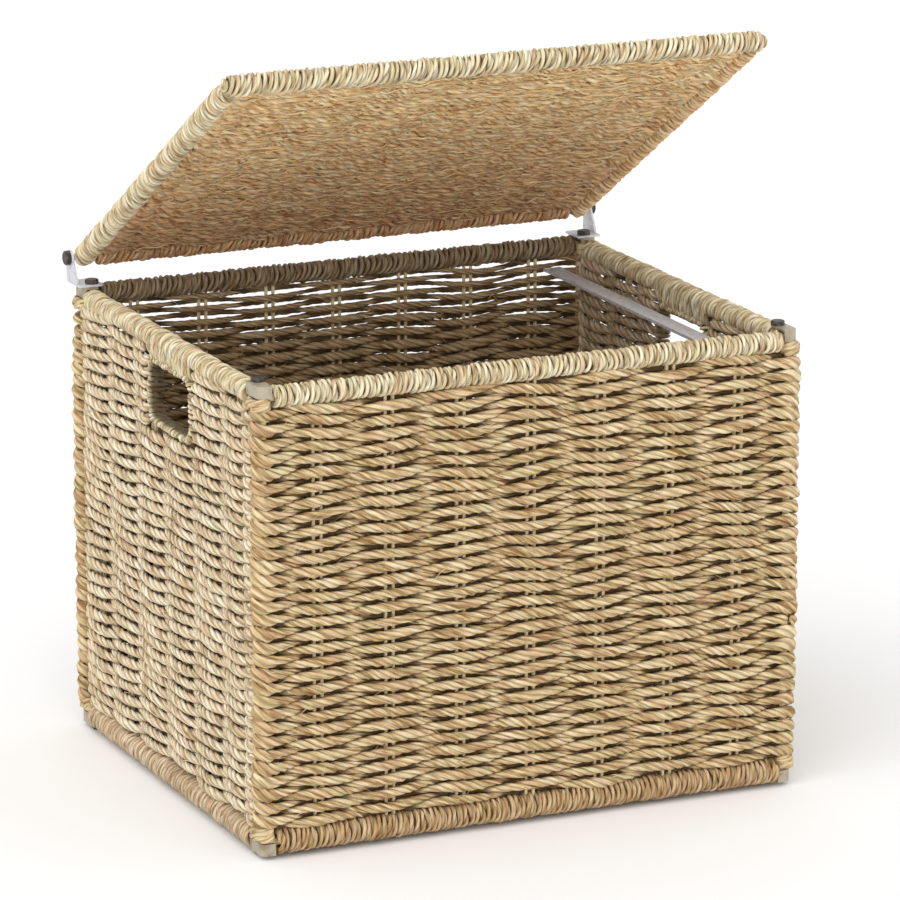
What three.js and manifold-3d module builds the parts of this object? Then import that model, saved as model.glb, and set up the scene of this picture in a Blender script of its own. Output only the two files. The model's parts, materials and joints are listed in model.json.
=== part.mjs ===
// Seagrass file box: four woven wall panels on wire frames, pinned together at the corners, a
// drop-in woven base, two inner rails, and a woven lid on a hinge rod at the back.
// Millimetres, +Z up. The front faces -Y. The origin is on the floor, under the middle of the box.

import * as THREE from 'three';
import { mergeVertices } from 'three/addons/utils/BufferGeometryUtils.js';
import Module from 'manifold-3d';

const wasm = await Module();
wasm.setup();

// Driving dimensions: outside of the box over its bottom rims, and the top of the top rims
const BOX_WIDTH = 387;
const BOX_DEPTH = 330;
const RIM_TOP = 310;

// Clearance between pieces that touch, and the overrun of a cut past the face it opens
const GAP = 0.3;
const OVERRUN = 5;

// Woven walls and their wrapped rims
const WEAVE_THICKNESS = 13;
const BOTTOM_RIM_DIAMETER = 17;
const TOP_RIM_DIAMETER = 15;
const RIM_END_GAP = 0.9;

// Wire frames inside the walls: a perimeter wire and pairs of thin upright stakes, a margin or
// more from the posts before the side walls' shift
const FRAME_WIRE_DIAMETER = 4.4;
const STAKE_WIRE = 1.8;
const STAKE_SPREAD = 5.2;
const STAKE_PITCH = 49.5;
const STAKE_MARGIN = 13;
const SIDE_STAKE_SHIFT = 3;

// Corner pins, the eyes that they thread, and the caps below them that are the feet
const PIN_DIAMETER = 4;
const PIN_INSET_X = 10.5;
const PIN_INSET_Y = 20;
const PIN_HEAD_DIAMETER = 9;
const PIN_HEAD_HEIGHT = 2.8;
const PIN_HEAD_CHAMFER = 0.6;
const FOOT_HEIGHT = 2.5;
const FOOT_FLOOR = 0.8;
const EYE_DIAMETER = 9.2;
const EYE_HEIGHT = 3.4;
const EYE_LINK_WIDTH = 4;

// Bent sheet clips that cap the eight corners, and how far they stand in from the box's sides
const CLIP_SHEET = 1.5;
const CLIP_INSET = 4;
const CLIP_WIDTH = 9.5;
const CLIP_DEPTH = 20;
const CLIP_HEIGHT = 8;
const CLIP_RISE = 0.5;
const CLIP_CORNER_RADIUS = 4;

// Drop-in base panel
const BASE_WEAVE_THICKNESS = 12;
const BASE_EDGE_GAP = 0.5;

// Inner rails along the side walls
const RAIL_WIDTH = 13;
const RAIL_THICKNESS = 2;
const RAIL_DROP = 22;
const RAIL_INSET = 29.5;
const RAIL_TONGUE = 7;

// Hand hole in each side wall: height of the opening, its top below the rim, its bound edge
const HANDLE_LENGTH = 64.65;
const HANDLE_HEIGHT = 34;
const HANDLE_DROP = 25;
const HANDLE_CORNER_RADIUS = 6.5;
const BINDING_WIDTH = 7;
const BINDING_THICKNESS = 11;
const LOOP_WIRE_DIAMETER = 3;

// Hinge at the top of the back wall
const HINGE_INSET = 6;
const HINGE_RISE = 18;
const HINGE_ROD_DIAMETER = 4;
const EAR_SHEET = 1.5;
const EAR_TIP_DIAMETER = 11;
const EAR_BASE_DEPTH = 20;
const EAR_FOOT_WIDTH = 17;
const EAR_FOOT_DEPTH = 20;
const EAR_FOOT_INSET = 4.5;
const HINGE_CAP_DIAMETER = 9.6;
const HINGE_CAP_LENGTH = 3.2;
const HINGE_CAP_FLOOR = 1.2;

// Lid: how far its rims stand in from the box's sides and front, and how far it stands open
const LID_SIDE_INSET = 2.8;
const LID_FRONT_INSET = 4;
const LID_RIM_DIAMETER = 15;
const LID_RIM_CHAMFER = 5;
const LID_WIRE_DIAMETER = 4;
const LID_OPEN_DEGREES = 31.5;

// Facets of the round pieces
const ROLL_SIDES = 12;
const PIN_SIDES = 8;
const WIRE_SIDES = 6;
const LOOP_SIDES = 4;
const CORNER_STEPS = 3;
const TIP_STEPS = 8;
const RIGHT_ANGLE = Math.PI / 2;

// Places worked out from the sizes above
const pinRadius = PIN_DIAMETER / 2;
const frameRadius = FRAME_WIRE_DIAMETER / 2;
const eyeRadius = EYE_DIAMETER / 2;
const halfWeave = WEAVE_THICKNESS / 2;
const sideMidX = (BOX_WIDTH - BOTTOM_RIM_DIAMETER) / 2;
const frontMidY = (BOX_DEPTH - BOTTOM_RIM_DIAMETER) / 2;
const bottomRimZ = FOOT_HEIGHT + BOTTOM_RIM_DIAMETER / 2;
const topRimZ = RIM_TOP - TOP_RIM_DIAMETER / 2;
const weaveBottomZ = FOOT_HEIGHT + BOTTOM_RIM_DIAMETER + GAP;
const weaveTopZ = RIM_TOP - TOP_RIM_DIAMETER - GAP;
const pinX = BOX_WIDTH / 2 - PIN_INSET_X;
const pinY = BOX_DEPTH / 2 - PIN_INSET_Y;
const clipOuterX = BOX_WIDTH / 2 - CLIP_INSET;
const clipOuterY = BOX_DEPTH / 2 - CLIP_INSET;
const clipInnerX = clipOuterX - CLIP_WIDTH;
const clipInnerY = clipOuterY - CLIP_DEPTH;
const topClipZ = RIM_TOP + CLIP_RISE - CLIP_HEIGHT;
const bottomClipZ = FOOT_HEIGHT + GAP;
const sidePostY = pinY - eyeRadius - GAP - frameRadius;
const sideWeaveEnd = frontMidY - halfWeave - GAP;
const frontRimEnd = clipInnerX - RIM_END_GAP;
const sideRimEnd = Math.min(clipInnerY - RIM_END_GAP, pinY - eyeRadius - GAP);
const earFootZ = RIM_TOP + CLIP_RISE + GAP;
const hingeY = BOX_DEPTH / 2 - HINGE_INSET;
const hingeZ = RIM_TOP + HINGE_RISE;
const hingeRodRadius = HINGE_ROD_DIAMETER / 2;
const hingeCapX = BOX_WIDTH / 2 + GAP;

// Colours and finishes
const straw = { color: 0xc9b085, roughness: 0.85, metalness: 0 };
const strawDark = { color: 0xa98a5c, roughness: 0.85, metalness: 0 };
const wire = { color: 0x8f8b84, roughness: 0.45, metalness: 1 };
const zinc = { color: 0xc9c9c4, roughness: 0.4, metalness: 1 };
const darkCap = { color: 0x2a2623, roughness: 0.5, metalness: 0 };

// A closed solid from a three.js geometry
function solidOf(geometry) {
  geometry.deleteAttribute('normal');
  geometry.deleteAttribute('uv');
  const merged = mergeVertices(geometry);
  return new wasm.Manifold(new wasm.Mesh({
    numProp: 3,
    vertProperties: merged.attributes.position.array,
    triVerts: Uint32Array.from(merged.index.array),
  }));
}

function joined(solids) {
  return solids.reduce((whole, solid) => whole.add(solid));
}

function cutBy(solid, cutters) {
  return cutters.reduce((rest, cutter) => rest.subtract(cutter), solid);
}

// A mesh of a solid, ready for the scene
function part(name, solid, finish) {
  const data = solid.getMesh();
  const geometry = new THREE.BufferGeometry();
  const places = new Float32Array(data.vertProperties);
  geometry.setAttribute('position', new THREE.BufferAttribute(places, 3));
  geometry.setIndex(Array.from(data.triVerts));
  geometry.computeVertexNormals();
  const mesh = new THREE.Mesh(geometry, new THREE.MeshStandardMaterial(finish));
  mesh.name = name;
  return mesh;
}

// A block between two opposite corners, given in any order
function block(a, b) {
  const size = new THREE.Vector3().subVectors(b, a);
  const centre = new THREE.Vector3().addVectors(a, b).divideScalar(2);
  const geometry = new THREE.BoxGeometry(Math.abs(size.x), Math.abs(size.y), Math.abs(size.z));
  return solidOf(geometry.translate(centre.x, centre.y, centre.z));
}

// Distance to the corners of a faceted round whose flats lie on the true radius
function cornerReach(radius, sides) {
  return radius / Math.cos(Math.PI / sides);
}

// A round bar from one point to another along X, Y or Z. Its flats lie on the true radius, and
// with the usual spin they face along the other two axes.
function bar(a, b, radius, sides, spin = Math.PI / sides) {
  const run = new THREE.Vector3().subVectors(b, a);
  const centre = new THREE.Vector3().addVectors(a, b).divideScalar(2);
  const corner = cornerReach(radius, sides);
  const geometry = new THREE.CylinderGeometry(corner, corner, run.length(), sides).rotateY(spin);
  if (run.x !== 0) geometry.rotateY(RIGHT_ANGLE).rotateZ(RIGHT_ANGLE);
  if (run.z !== 0) geometry.rotateX(RIGHT_ANGLE);
  return solidOf(geometry.translate(centre.x, centre.y, centre.z));
}

// A turned piece on the Z axis; each profile point is a radius and a height
function turned(profile) {
  const points = profile.map(([radius, height]) => (
    new THREE.Vector2(cornerReach(radius, ROLL_SIDES), height)
  ));
  const geometry = new THREE.LatheGeometry(points, ROLL_SIDES, Math.PI / ROLL_SIDES);
  return solidOf(geometry.rotateX(RIGHT_ANGLE));
}

// A flat outline in X and Y, drawn up from one height to another
function prism(points, bottom, top) {
  const shape = new THREE.Shape(points);
  const geometry = new THREE.ExtrudeGeometry(shape, { depth: top - bottom, bevelEnabled: false });
  return solidOf(geometry.translate(0, 0, bottom));
}

// Points of an arc in two dimensions
function arc(centre, radius, from, to, steps) {
  const points = [];
  for (let i = 0; i <= steps; i += 1) {
    const angle = from + ((to - from) * i) / steps;
    const x = centre.x + radius * Math.cos(angle);
    points.push(new THREE.Vector2(x, centre.y + radius * Math.sin(angle)));
  }
  return points;
}

// Places of evenly pitched stakes about a middle, as many as keep a margin to the posts
function stakePlaces(post, middle) {
  const count = 1 + Math.floor((2 * (post - STAKE_MARGIN)) / STAKE_PITCH);
  return Array.from({ length: count }, (_, i) => middle + (i - (count - 1) / 2) * STAKE_PITCH);
}

// The four walls. A wall runs along X or Y at a distance from the centre, on one side of it.
const frontWall = {
  along: 'x', side: -1, mid: frontMidY, post: sideMidX, weaveEnd: sideMidX, rimEnd: frontRimEnd,
  stakes: stakePlaces(sideMidX, 0), eyeSign: 1,
};
const backWall = { ...frontWall, side: 1 };
const leftWall = {
  along: 'y', side: -1, mid: sideMidX, post: sidePostY, weaveEnd: sideWeaveEnd, rimEnd: sideRimEnd,
  stakes: stakePlaces(sidePostY, SIDE_STAKE_SHIFT), eyeSign: -1,
};
const rightWall = { ...leftWall, side: 1 };

// A point of a wall: a place along it, a distance out from the box's centre, and a height
function onWall(wall, along, out, z) {
  const across = wall.side * out;
  const alongX = wall.along === 'x';
  return alongX ? new THREE.Vector3(along, across, z) : new THREE.Vector3(across, along, z);
}

// Perimeter wire of a wall: two level rods, with flats above and below, and two posts
function wallRods(wall, grow) {
  const radius = frameRadius + grow;
  const reach = wall.post + radius;
  const spin = wall.along === 'x' ? 0 : Math.PI / WIRE_SIDES;
  const rods = [bottomRimZ, topRimZ].map((z) => {
    const start = onWall(wall, -reach, wall.mid, z);
    return bar(start, onWall(wall, reach, wall.mid, z), radius, WIRE_SIDES, spin);
  });
  const posts = [-wall.post, wall.post].map((along) => {
    const foot = onWall(wall, along, wall.mid, bottomRimZ);
    return bar(foot, onWall(wall, along, wall.mid, topRimZ), radius, WIRE_SIDES);
  });
  return [...rods, ...posts];
}

// Centres of the heights of a wall's eyes: over the rods in front and back, under them at the sides
function eyeHeights(wall) {
  const offset = wall.eyeSign * (GAP + EYE_HEIGHT) / 2;
  return [bottomRimZ + offset, topRimZ + offset];
}

// Eyes at the ends of a wall's level rods, each with the link that carries it
function wallEyes(wall, grow) {
  const halfHeight = EYE_HEIGHT / 2 + grow;
  const halfLink = EYE_LINK_WIDTH / 2 + grow;
  const postY = wall.along === 'x' ? wall.mid : wall.post;
  const ySigns = wall.along === 'x' ? [wall.side] : [-1, 1];
  const xSigns = wall.along === 'x' ? [-1, 1] : [wall.side];
  const pieces = [];
  for (const z of eyeHeights(wall)) {
    for (const sy of ySigns) {
      for (const sx of xSigns) {
        const x = sx * pinX;
        const low = new THREE.Vector3(x, sy * pinY, z - halfHeight);
        const high = new THREE.Vector3(x, sy * pinY, z + halfHeight);
        pieces.push(bar(low, high, eyeRadius + grow, PIN_SIDES));
        pieces.push(block(
          new THREE.Vector3(x - halfLink, sy * pinY, z - halfHeight),
          new THREE.Vector3(x + halfLink, sy * postY, z + halfHeight),
        ));
      }
    }
  }
  return pieces;
}

// Corner pins as plain bars, grown by a clearance, to cut holes with
function pinBores(grow) {
  const bores = [];
  for (const sx of [-1, 1]) {
    for (const sy of [-1, 1]) {
      const low = new THREE.Vector3(sx * pinX, sy * pinY, 0);
      const high = new THREE.Vector3(sx * pinX, sy * pinY, RIM_TOP + HINGE_RISE);
      bores.push(bar(low, high, pinRadius + grow, PIN_SIDES));
    }
  }
  return bores;
}

// Loop of wire round the hand hole: its rear leg is the inner wire of one stake pair
const handle = {
  rear: leftWall.stakes[Math.ceil(leftWall.stakes.length / 2)] - STAKE_SPREAD / 2,
  top: RIM_TOP - HANDLE_DROP + BINDING_WIDTH / 2,
};
handle.front = handle.rear - BINDING_WIDTH - HANDLE_LENGTH;
handle.bottom = handle.top - BINDING_WIDTH - HANDLE_HEIGHT;

// Rounded outline of the hand hole's loop, moved outwards by an offset
function handleOutline(offset) {
  const radius = HANDLE_CORNER_RADIUS + BINDING_WIDTH / 2;
  const corners = [
    [handle.rear - radius, handle.top - radius],
    [handle.front + radius, handle.top - radius],
    [handle.front + radius, handle.bottom + radius],
    [handle.rear - radius, handle.bottom + radius],
  ];
  return corners.flatMap(([y, z], i) => (
    arc(new THREE.Vector2(y, z), radius + offset, i * RIGHT_ANGLE, (i + 1) * RIGHT_ANGLE, CORNER_STEPS)
  ));
}

// Closed tube along the hand hole's loop, oval in section: half its width in the wall's plane and
// half its thickness through the wall
function handleTube(wall, halfWidth, halfThickness, sides) {
  const path = handleOutline(0);
  const positions = [];
  const faces = [];
  const inner = handleOutline(-halfWidth);
  const outer = handleOutline(halfWidth);
  for (let i = 0; i < path.length; i += 1) {
    const half = new THREE.Vector2().subVectors(outer[i], inner[i]).divideScalar(2);
    for (let k = 0; k < sides; k += 1) {
      const angle = (2 * Math.PI * k) / sides;
      const x = wall.side * wall.mid + halfThickness * Math.sin(angle);
      const y = path[i].x + half.x * Math.cos(angle);
      const z = path[i].y + half.y * Math.cos(angle);
      positions.push(x, y, z);
      const next = (i + 1) % path.length;
      const side = (k + 1) % sides;
      const a = i * sides + k;
      const b = next * sides + k;
      const c = next * sides + side;
      const d = i * sides + side;
      faces.push(a, b, c, a, c, d);
    }
  }
  const geometry = new THREE.BufferGeometry();
  geometry.setAttribute('position', new THREE.BufferAttribute(new Float32Array(positions), 3));
  geometry.setIndex(faces);
  return solidOf(geometry);
}

function loopWire(wall, grow) {
  const radius = LOOP_WIRE_DIAMETER / 2 + grow;
  return handleTube(wall, radius, radius, LOOP_SIDES);
}

// One stake wire of a wall, from one height to another
function stakeWire(wall, along, bottom, top, grow) {
  const half = STAKE_WIRE / 2 + grow;
  return block(
    onWall(wall, along - half, wall.mid - half, bottom),
    onWall(wall, along + half, wall.mid + half, top),
  );
}

// All stake wires of a wall; a wire that meets the hand hole is cut at its loop
function stakeWires(wall, grow) {
  const wires = [];
  for (const place of wall.stakes) {
    for (const along of [place - STAKE_SPREAD / 2, place + STAKE_SPREAD / 2]) {
      const meetsHole = wall.along === 'y' && along > handle.front && along < handle.rear;
      if (meetsHole) {
        wires.push(stakeWire(wall, along, bottomRimZ, handle.bottom, grow));
        wires.push(stakeWire(wall, along, handle.top, topRimZ, grow));
      } else {
        wires.push(stakeWire(wall, along, bottomRimZ, topRimZ, grow));
      }
    }
  }
  return wires;
}

// Slots that clear each stake pair, for the weave and the rims round it
function stakeSlots(wall) {
  const halfAcross = STAKE_WIRE / 2 + GAP;
  const halfAlong = STAKE_SPREAD / 2 + halfAcross;
  return wall.stakes.map((place) => block(
    onWall(wall, place - halfAlong, wall.mid - halfAcross, bottomRimZ),
    onWall(wall, place + halfAlong, wall.mid + halfAcross, topRimZ),
  ));
}

function wallFrame(wall) {
  const loops = wall.along === 'y' ? [loopWire(wall, 0)] : [];
  const wires = [...wallRods(wall, 0), ...stakeWires(wall, 0), ...loops];
  return cutBy(joined([...wires, ...wallEyes(wall, 0)]), pinBores(GAP));
}

// What the weave and the rims of a wall leave free for its frame
function wallCutters(wall) {
  return [...wallRods(wall, GAP), ...stakeSlots(wall), ...wallEyes(wall, GAP)];
}

// Woven field of a front or back wall; its upright edges turn round the posts, and reach past the
// rims as far as the clips
function frontWeave(wall) {
  const ends = [1, -1].flatMap((sign) => {
    const centre = new THREE.Vector2(sign * wall.weaveEnd, wall.side * wall.mid);
    const start = -sign * RIGHT_ANGLE;
    return arc(centre, halfWeave, start, start + 2 * RIGHT_ANGLE, 2 * CORNER_STEPS);
  });
  const field = prism(ends, weaveBottomZ, weaveTopZ);
  const tall = prism(ends, bottomClipZ + CLIP_HEIGHT + GAP, topClipZ - GAP);
  const rims = block(
    onWall(wall, -clipInnerX, wall.mid - WEAVE_THICKNESS, 0),
    onWall(wall, clipInnerX, wall.mid + WEAVE_THICKNESS, RIM_TOP),
  );
  const whole = joined([field, tall.subtract(rims)]);
  return cutBy(whole, [...wallCutters(wall), ...pinBores(GAP), ...railBars(GAP)]);
}

// Woven field of a side wall, with its hand hole
function sideWeave(wall) {
  const field = block(
    onWall(wall, -wall.weaveEnd, wall.mid - halfWeave, weaveBottomZ),
    onWall(wall, wall.weaveEnd, wall.mid + halfWeave, weaveTopZ),
  );
  const hole = prism(handleOutline(BINDING_WIDTH / 2 + GAP), -halfWeave - OVERRUN, halfWeave + OVERRUN);
  const standing = hole.rotate([90, 0, 90]).translate([wall.side * wall.mid, 0, 0]);
  return cutBy(field, [...wallCutters(wall), ...pinBores(GAP), standing]);
}

// Wrapped rim of a wall, rolled round one of its level rods
function wallRim(wall, z, diameter) {
  const ends = [onWall(wall, -wall.rimEnd, wall.mid, z), onWall(wall, wall.rimEnd, wall.mid, z)];
  return cutBy(bar(ends[0], ends[1], diameter / 2, ROLL_SIDES), wallCutters(wall));
}

// Wrapped edge of a hand hole
function handleBinding(wall) {
  const tube = handleTube(wall, BINDING_WIDTH / 2, BINDING_THICKNESS / 2, PIN_SIDES);
  return cutBy(tube, [loopWire(wall, GAP), ...stakeWires(wall, GAP)]);
}

// Outline of a corner clip's outer edge, moved inwards by an inset
function clipEdge(sx, sy, inset) {
  const bendX = clipOuterX - CLIP_CORNER_RADIUS;
  const centre = new THREE.Vector2(bendX, clipOuterY - CLIP_CORNER_RADIUS);
  const points = [
    new THREE.Vector2(clipOuterX - inset, clipInnerY),
    ...arc(centre, CLIP_CORNER_RADIUS - inset, 0, RIGHT_ANGLE, CORNER_STEPS),
    new THREE.Vector2(clipInnerX, clipOuterY - inset),
  ];
  return points.map((p) => new THREE.Vector2(sx * p.x, sy * p.y));
}

// Corner clip: a level plate that the pin threads, and a web that bends round the outside of the
// corner
function cornerClip(sx, sy, plateZ, webZ, walls) {
  const plate = [...clipEdge(sx, sy, 0), new THREE.Vector2(sx * clipInnerX, sy * clipInnerY)];
  const web = [...clipEdge(sx, sy, 0), ...clipEdge(sx, sy, CLIP_SHEET).reverse()];
  const sheet = joined([
    prism(plate, plateZ, plateZ + CLIP_SHEET),
    prism(web, webZ, webZ + CLIP_HEIGHT),
  ]);
  const wires = walls.flatMap((wall) => [...wallRods(wall, GAP), ...wallEyes(wall, GAP)]);
  return cutBy(sheet, [...wires, ...pinBores(GAP)]);
}

// Corner pin with its head; a rear head also holds the foot of a hinge ear
function cornerPin(sx, sy) {
  const held = sy > 0 ? EAR_SHEET + GAP : 0;
  const headZ = earFootZ + held;
  const headRadius = PIN_HEAD_DIAMETER / 2;
  return turned([
    [0, FOOT_FLOOR + GAP],
    [pinRadius, FOOT_FLOOR + GAP],
    [pinRadius, headZ],
    [headRadius, headZ],
    [headRadius, headZ + PIN_HEAD_HEIGHT - PIN_HEAD_CHAMFER],
    [headRadius - PIN_HEAD_CHAMFER, headZ + PIN_HEAD_HEIGHT],
    [0, headZ + PIN_HEAD_HEIGHT],
  ]).translate([sx * pinX, sy * pinY, 0]);
}

// Cap on the lower end of a pin: the box stands on four of them
function pinCap(sx, sy) {
  const radius = PIN_HEAD_DIAMETER / 2;
  const bore = pinRadius + GAP;
  return turned([
    [0, 0],
    [radius - PIN_HEAD_CHAMFER, 0],
    [radius, PIN_HEAD_CHAMFER],
    [radius, FOOT_HEIGHT],
    [bore, FOOT_HEIGHT],
    [bore, FOOT_FLOOR],
    [0, FOOT_FLOOR],
  ]).translate([sx * pinX, sy * pinY, 0]);
}

// Base panel: its perimeter wire rests on the inner flanks of the bottom rims
const baseRodReach = cornerReach(frameRadius, WIRE_SIDES);
const baseRodX = sideMidX - halfWeave - BASE_EDGE_GAP - baseRodReach;
const baseRodY = frontMidY - halfWeave - BASE_EDGE_GAP - baseRodReach;
const baseReach = cornerReach(BOTTOM_RIM_DIAMETER / 2, ROLL_SIDES) + baseRodReach + GAP;
const baseZ = bottomRimZ + Math.sqrt(baseReach ** 2 - (sideMidX - baseRodX) ** 2);

function baseFrame() {
  const metal = [];
  for (const sign of [-1, 1]) {
    const corner = new THREE.Vector3(sign * baseRodX, sign * baseRodY, baseZ);
    for (const end of [[-corner.x, corner.y], [corner.x, -corner.y]]) {
      metal.push(bar(new THREE.Vector3(...end, baseZ), corner, frameRadius, WIRE_SIDES));
    }
  }
  return joined([...metal, ...frontWall.stakes.map((x) => baseStake(x, 0))]);
}

function baseStake(x, grow) {
  const half = STAKE_WIRE / 2 + grow;
  return block(
    new THREE.Vector3(x - half, -baseRodY, baseZ - half),
    new THREE.Vector3(x + half, baseRodY, baseZ + half),
  );
}

function baseWeave() {
  const halfX = baseRodX - baseRodReach - GAP;
  const halfY = baseRodY - baseRodReach - GAP;
  const halfZ = BASE_WEAVE_THICKNESS / 2;
  const field = block(
    new THREE.Vector3(-halfX, -halfY, baseZ - halfZ),
    new THREE.Vector3(halfX, halfY, baseZ + halfZ),
  );
  return cutBy(field, frontWall.stakes.map((x) => baseStake(x, GAP)));
}

// Inner rails; their ends are tongues that slot into the front and back walls
function railBar(sx, grow) {
  const middle = BOX_WIDTH / 2 - RAIL_INSET;
  const end = frontMidY - halfWeave + RAIL_TONGUE + grow;
  const top = RIM_TOP - RAIL_DROP;
  return block(
    new THREE.Vector3(sx * (middle - RAIL_WIDTH / 2 - grow), -end, top - RAIL_THICKNESS - grow),
    new THREE.Vector3(sx * (middle + RAIL_WIDTH / 2 + grow), end, top + grow),
  );
}

function railBars(grow) {
  return [railBar(-1, grow), railBar(1, grow)];
}

// Hinge ear: a tapered plate outside the lid, with a foot clamped under the rear pin's head
function hingeEar(sx) {
  const axle = new THREE.Vector2(hingeY, hingeZ);
  const outline = [
    new THREE.Vector2(BOX_DEPTH / 2 - EAR_BASE_DEPTH, earFootZ),
    new THREE.Vector2(BOX_DEPTH / 2, earFootZ),
    ...arc(axle, EAR_TIP_DIAMETER / 2, 0, 2 * RIGHT_ANGLE, TIP_STEPS),
  ];
  const outer = BOX_WIDTH / 2;
  const start = sx > 0 ? outer - EAR_SHEET : -outer;
  const plate = prism(outline, 0, EAR_SHEET).rotate([90, 0, 90]).translate([start, 0, 0]);
  const footEnd = BOX_DEPTH / 2 - EAR_FOOT_INSET;
  const foot = block(
    new THREE.Vector3(sx * outer, footEnd, earFootZ),
    new THREE.Vector3(sx * (outer - EAR_FOOT_WIDTH), footEnd - EAR_FOOT_DEPTH, earFootZ + EAR_SHEET),
  );
  const bore = bar(
    new THREE.Vector3(sx * (outer - OVERRUN), hingeY, hingeZ),
    new THREE.Vector3(sx * (outer + OVERRUN), hingeY, hingeZ),
    hingeRodRadius + GAP,
    PIN_SIDES,
  );
  return cutBy(plate.add(foot), [bore, ...pinBores(GAP)]);
}

// The lid is built closed and level, in the hinge's own frame: its axis is the origin, and the lid
// reaches towards -Y
const lidRimRadius = LID_RIM_DIAMETER / 2;
const lidWireRadius = LID_WIRE_DIAMETER / 2;
const lidRearWireY = -(hingeRodRadius + lidWireRadius + GAP);
const lidRearY = lidRearWireY / 2;
const lidFrontY = LID_FRONT_INSET + lidRimRadius - BOX_DEPTH / 2 - hingeY;
const lidSideX = BOX_WIDTH / 2 - LID_SIDE_INSET - lidRimRadius;
const lidWeaveX = lidSideX - lidRimRadius - GAP;

function lidWires(grow) {
  const radius = lidWireRadius + grow;
  const reach = lidSideX + radius;
  const across = [lidRearWireY, lidFrontY].map((y) => (
    bar(new THREE.Vector3(-reach, y, 0), new THREE.Vector3(reach, y, 0), radius, WIRE_SIDES)
  ));
  const along = [-lidSideX, lidSideX].map((x) => {
    const front = new THREE.Vector3(x, lidFrontY, 0);
    return bar(front, new THREE.Vector3(x, lidRearWireY, 0), radius, WIRE_SIDES);
  });
  return [...across, ...along];
}

// A bar of the lid's stakes, from the front wire to the rear wire
function lidStake(x, halfAlong, halfThick) {
  return block(
    new THREE.Vector3(x - halfAlong, lidFrontY, -halfThick),
    new THREE.Vector3(x + halfAlong, lidRearWireY, halfThick),
  );
}

function lidFrame() {
  const half = STAKE_WIRE / 2;
  const places = frontWall.stakes.flatMap((x) => [x - STAKE_SPREAD / 2, x + STAKE_SPREAD / 2]);
  return joined([...lidWires(0), ...places.map((x) => lidStake(x, half, half))]);
}

function lidCutters() {
  const half = STAKE_WIRE / 2 + GAP;
  const slots = frontWall.stakes.map((x) => lidStake(x, STAKE_SPREAD / 2 + half, half));
  return [...lidWires(GAP), ...slots, hingeRodBar(GAP)];
}

function hingeRodBar(grow) {
  const end = new THREE.Vector3(hingeCapX + HINGE_CAP_LENGTH - HINGE_CAP_FLOOR - GAP, 0, 0);
  return bar(end.clone().negate(), end, hingeRodRadius + grow, PIN_SIDES);
}

function lidWeave() {
  const field = block(
    new THREE.Vector3(-lidWeaveX, lidFrontY + lidRimRadius + GAP, -halfWeave),
    new THREE.Vector3(lidWeaveX, lidRearY - lidRimRadius - GAP, halfWeave),
  );
  return cutBy(field, lidCutters());
}

function lidCrossRim(y) {
  const start = new THREE.Vector3(-lidWeaveX, y, 0);
  const roll = bar(start, new THREE.Vector3(lidWeaveX, y, 0), lidRimRadius, ROLL_SIDES);
  return cutBy(roll, lidCutters());
}

function lidSideRim(sx) {
  const halfLength = (lidRearY - lidFrontY + LID_RIM_DIAMETER) / 2;
  const roll = turned([
    [0, -halfLength],
    [lidRimRadius - LID_RIM_CHAMFER, -halfLength],
    [lidRimRadius, LID_RIM_CHAMFER - halfLength],
    [lidRimRadius, halfLength - LID_RIM_CHAMFER],
    [lidRimRadius - LID_RIM_CHAMFER, halfLength],
    [0, halfLength],
  ]).rotate([90, 0, 0]).translate([sx * lidSideX, lidRearY + lidRimRadius - halfLength, 0]);
  return cutBy(roll, lidCutters());
}

// Cap on an end of the hinge rod, outside its ear
function hingeCap(sx) {
  const radius = HINGE_CAP_DIAMETER / 2;
  const bore = hingeRodRadius + GAP;
  const seat = HINGE_CAP_LENGTH - HINGE_CAP_FLOOR;
  return turned([
    [0, seat],
    [bore, seat],
    [bore, 0],
    [radius, 0],
    [radius, HINGE_CAP_LENGTH - PIN_HEAD_CHAMFER],
    [radius - PIN_HEAD_CHAMFER, HINGE_CAP_LENGTH],
    [0, HINGE_CAP_LENGTH],
  ]).rotate([0, sx * 90, 0]).translate([sx * hingeCapX, 0, 0]);
}

// Assembly
const fileBox = new THREE.Group();
const lid = new THREE.Group();
lid.position.set(0, hingeY, hingeZ);
lid.rotation.x = -THREE.MathUtils.degToRad(LID_OPEN_DEGREES);

const walls = { front: frontWall, back: backWall, left: leftWall, right: rightWall };
for (const [name, wall] of Object.entries(walls)) {
  fileBox.add(part(`${name}_frame`, wallFrame(wall), wire));
  fileBox.add(part(`${name}_weave`, wall.along === 'x' ? frontWeave(wall) : sideWeave(wall), straw));
  fileBox.add(part(`${name}_top_rim`, wallRim(wall, topRimZ, TOP_RIM_DIAMETER), straw));
  fileBox.add(part(`${name}_bottom_rim`, wallRim(wall, bottomRimZ, BOTTOM_RIM_DIAMETER), straw));
  if (wall.along === 'y') fileBox.add(part(`${name}_handle_binding`, handleBinding(wall), straw));
}

for (const [endName, sy, endWall] of [['front', -1, frontWall], ['back', 1, backWall]]) {
  for (const [sideName, sx, sideWall] of [['left', -1, leftWall], ['right', 1, rightWall]]) {
    const corner = `${endName}_${sideName}`;
    const meeting = [endWall, sideWall];
    const topPlateZ = topClipZ + CLIP_HEIGHT - CLIP_SHEET;
    const topClip = cornerClip(sx, sy, topPlateZ, topClipZ, meeting);
    const bottomClip = cornerClip(sx, sy, bottomClipZ, bottomClipZ, meeting);
    fileBox.add(part(`${corner}_top_clip`, topClip, zinc));
    fileBox.add(part(`${corner}_bottom_clip`, bottomClip, zinc));
    fileBox.add(part(`${corner}_pin`, cornerPin(sx, sy), darkCap));
    fileBox.add(part(`${corner}_pin_cap`, pinCap(sx, sy), darkCap));
  }
}

fileBox.add(part('base_frame', baseFrame(), wire));
fileBox.add(part('base_weave', baseWeave(), strawDark));

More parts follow.
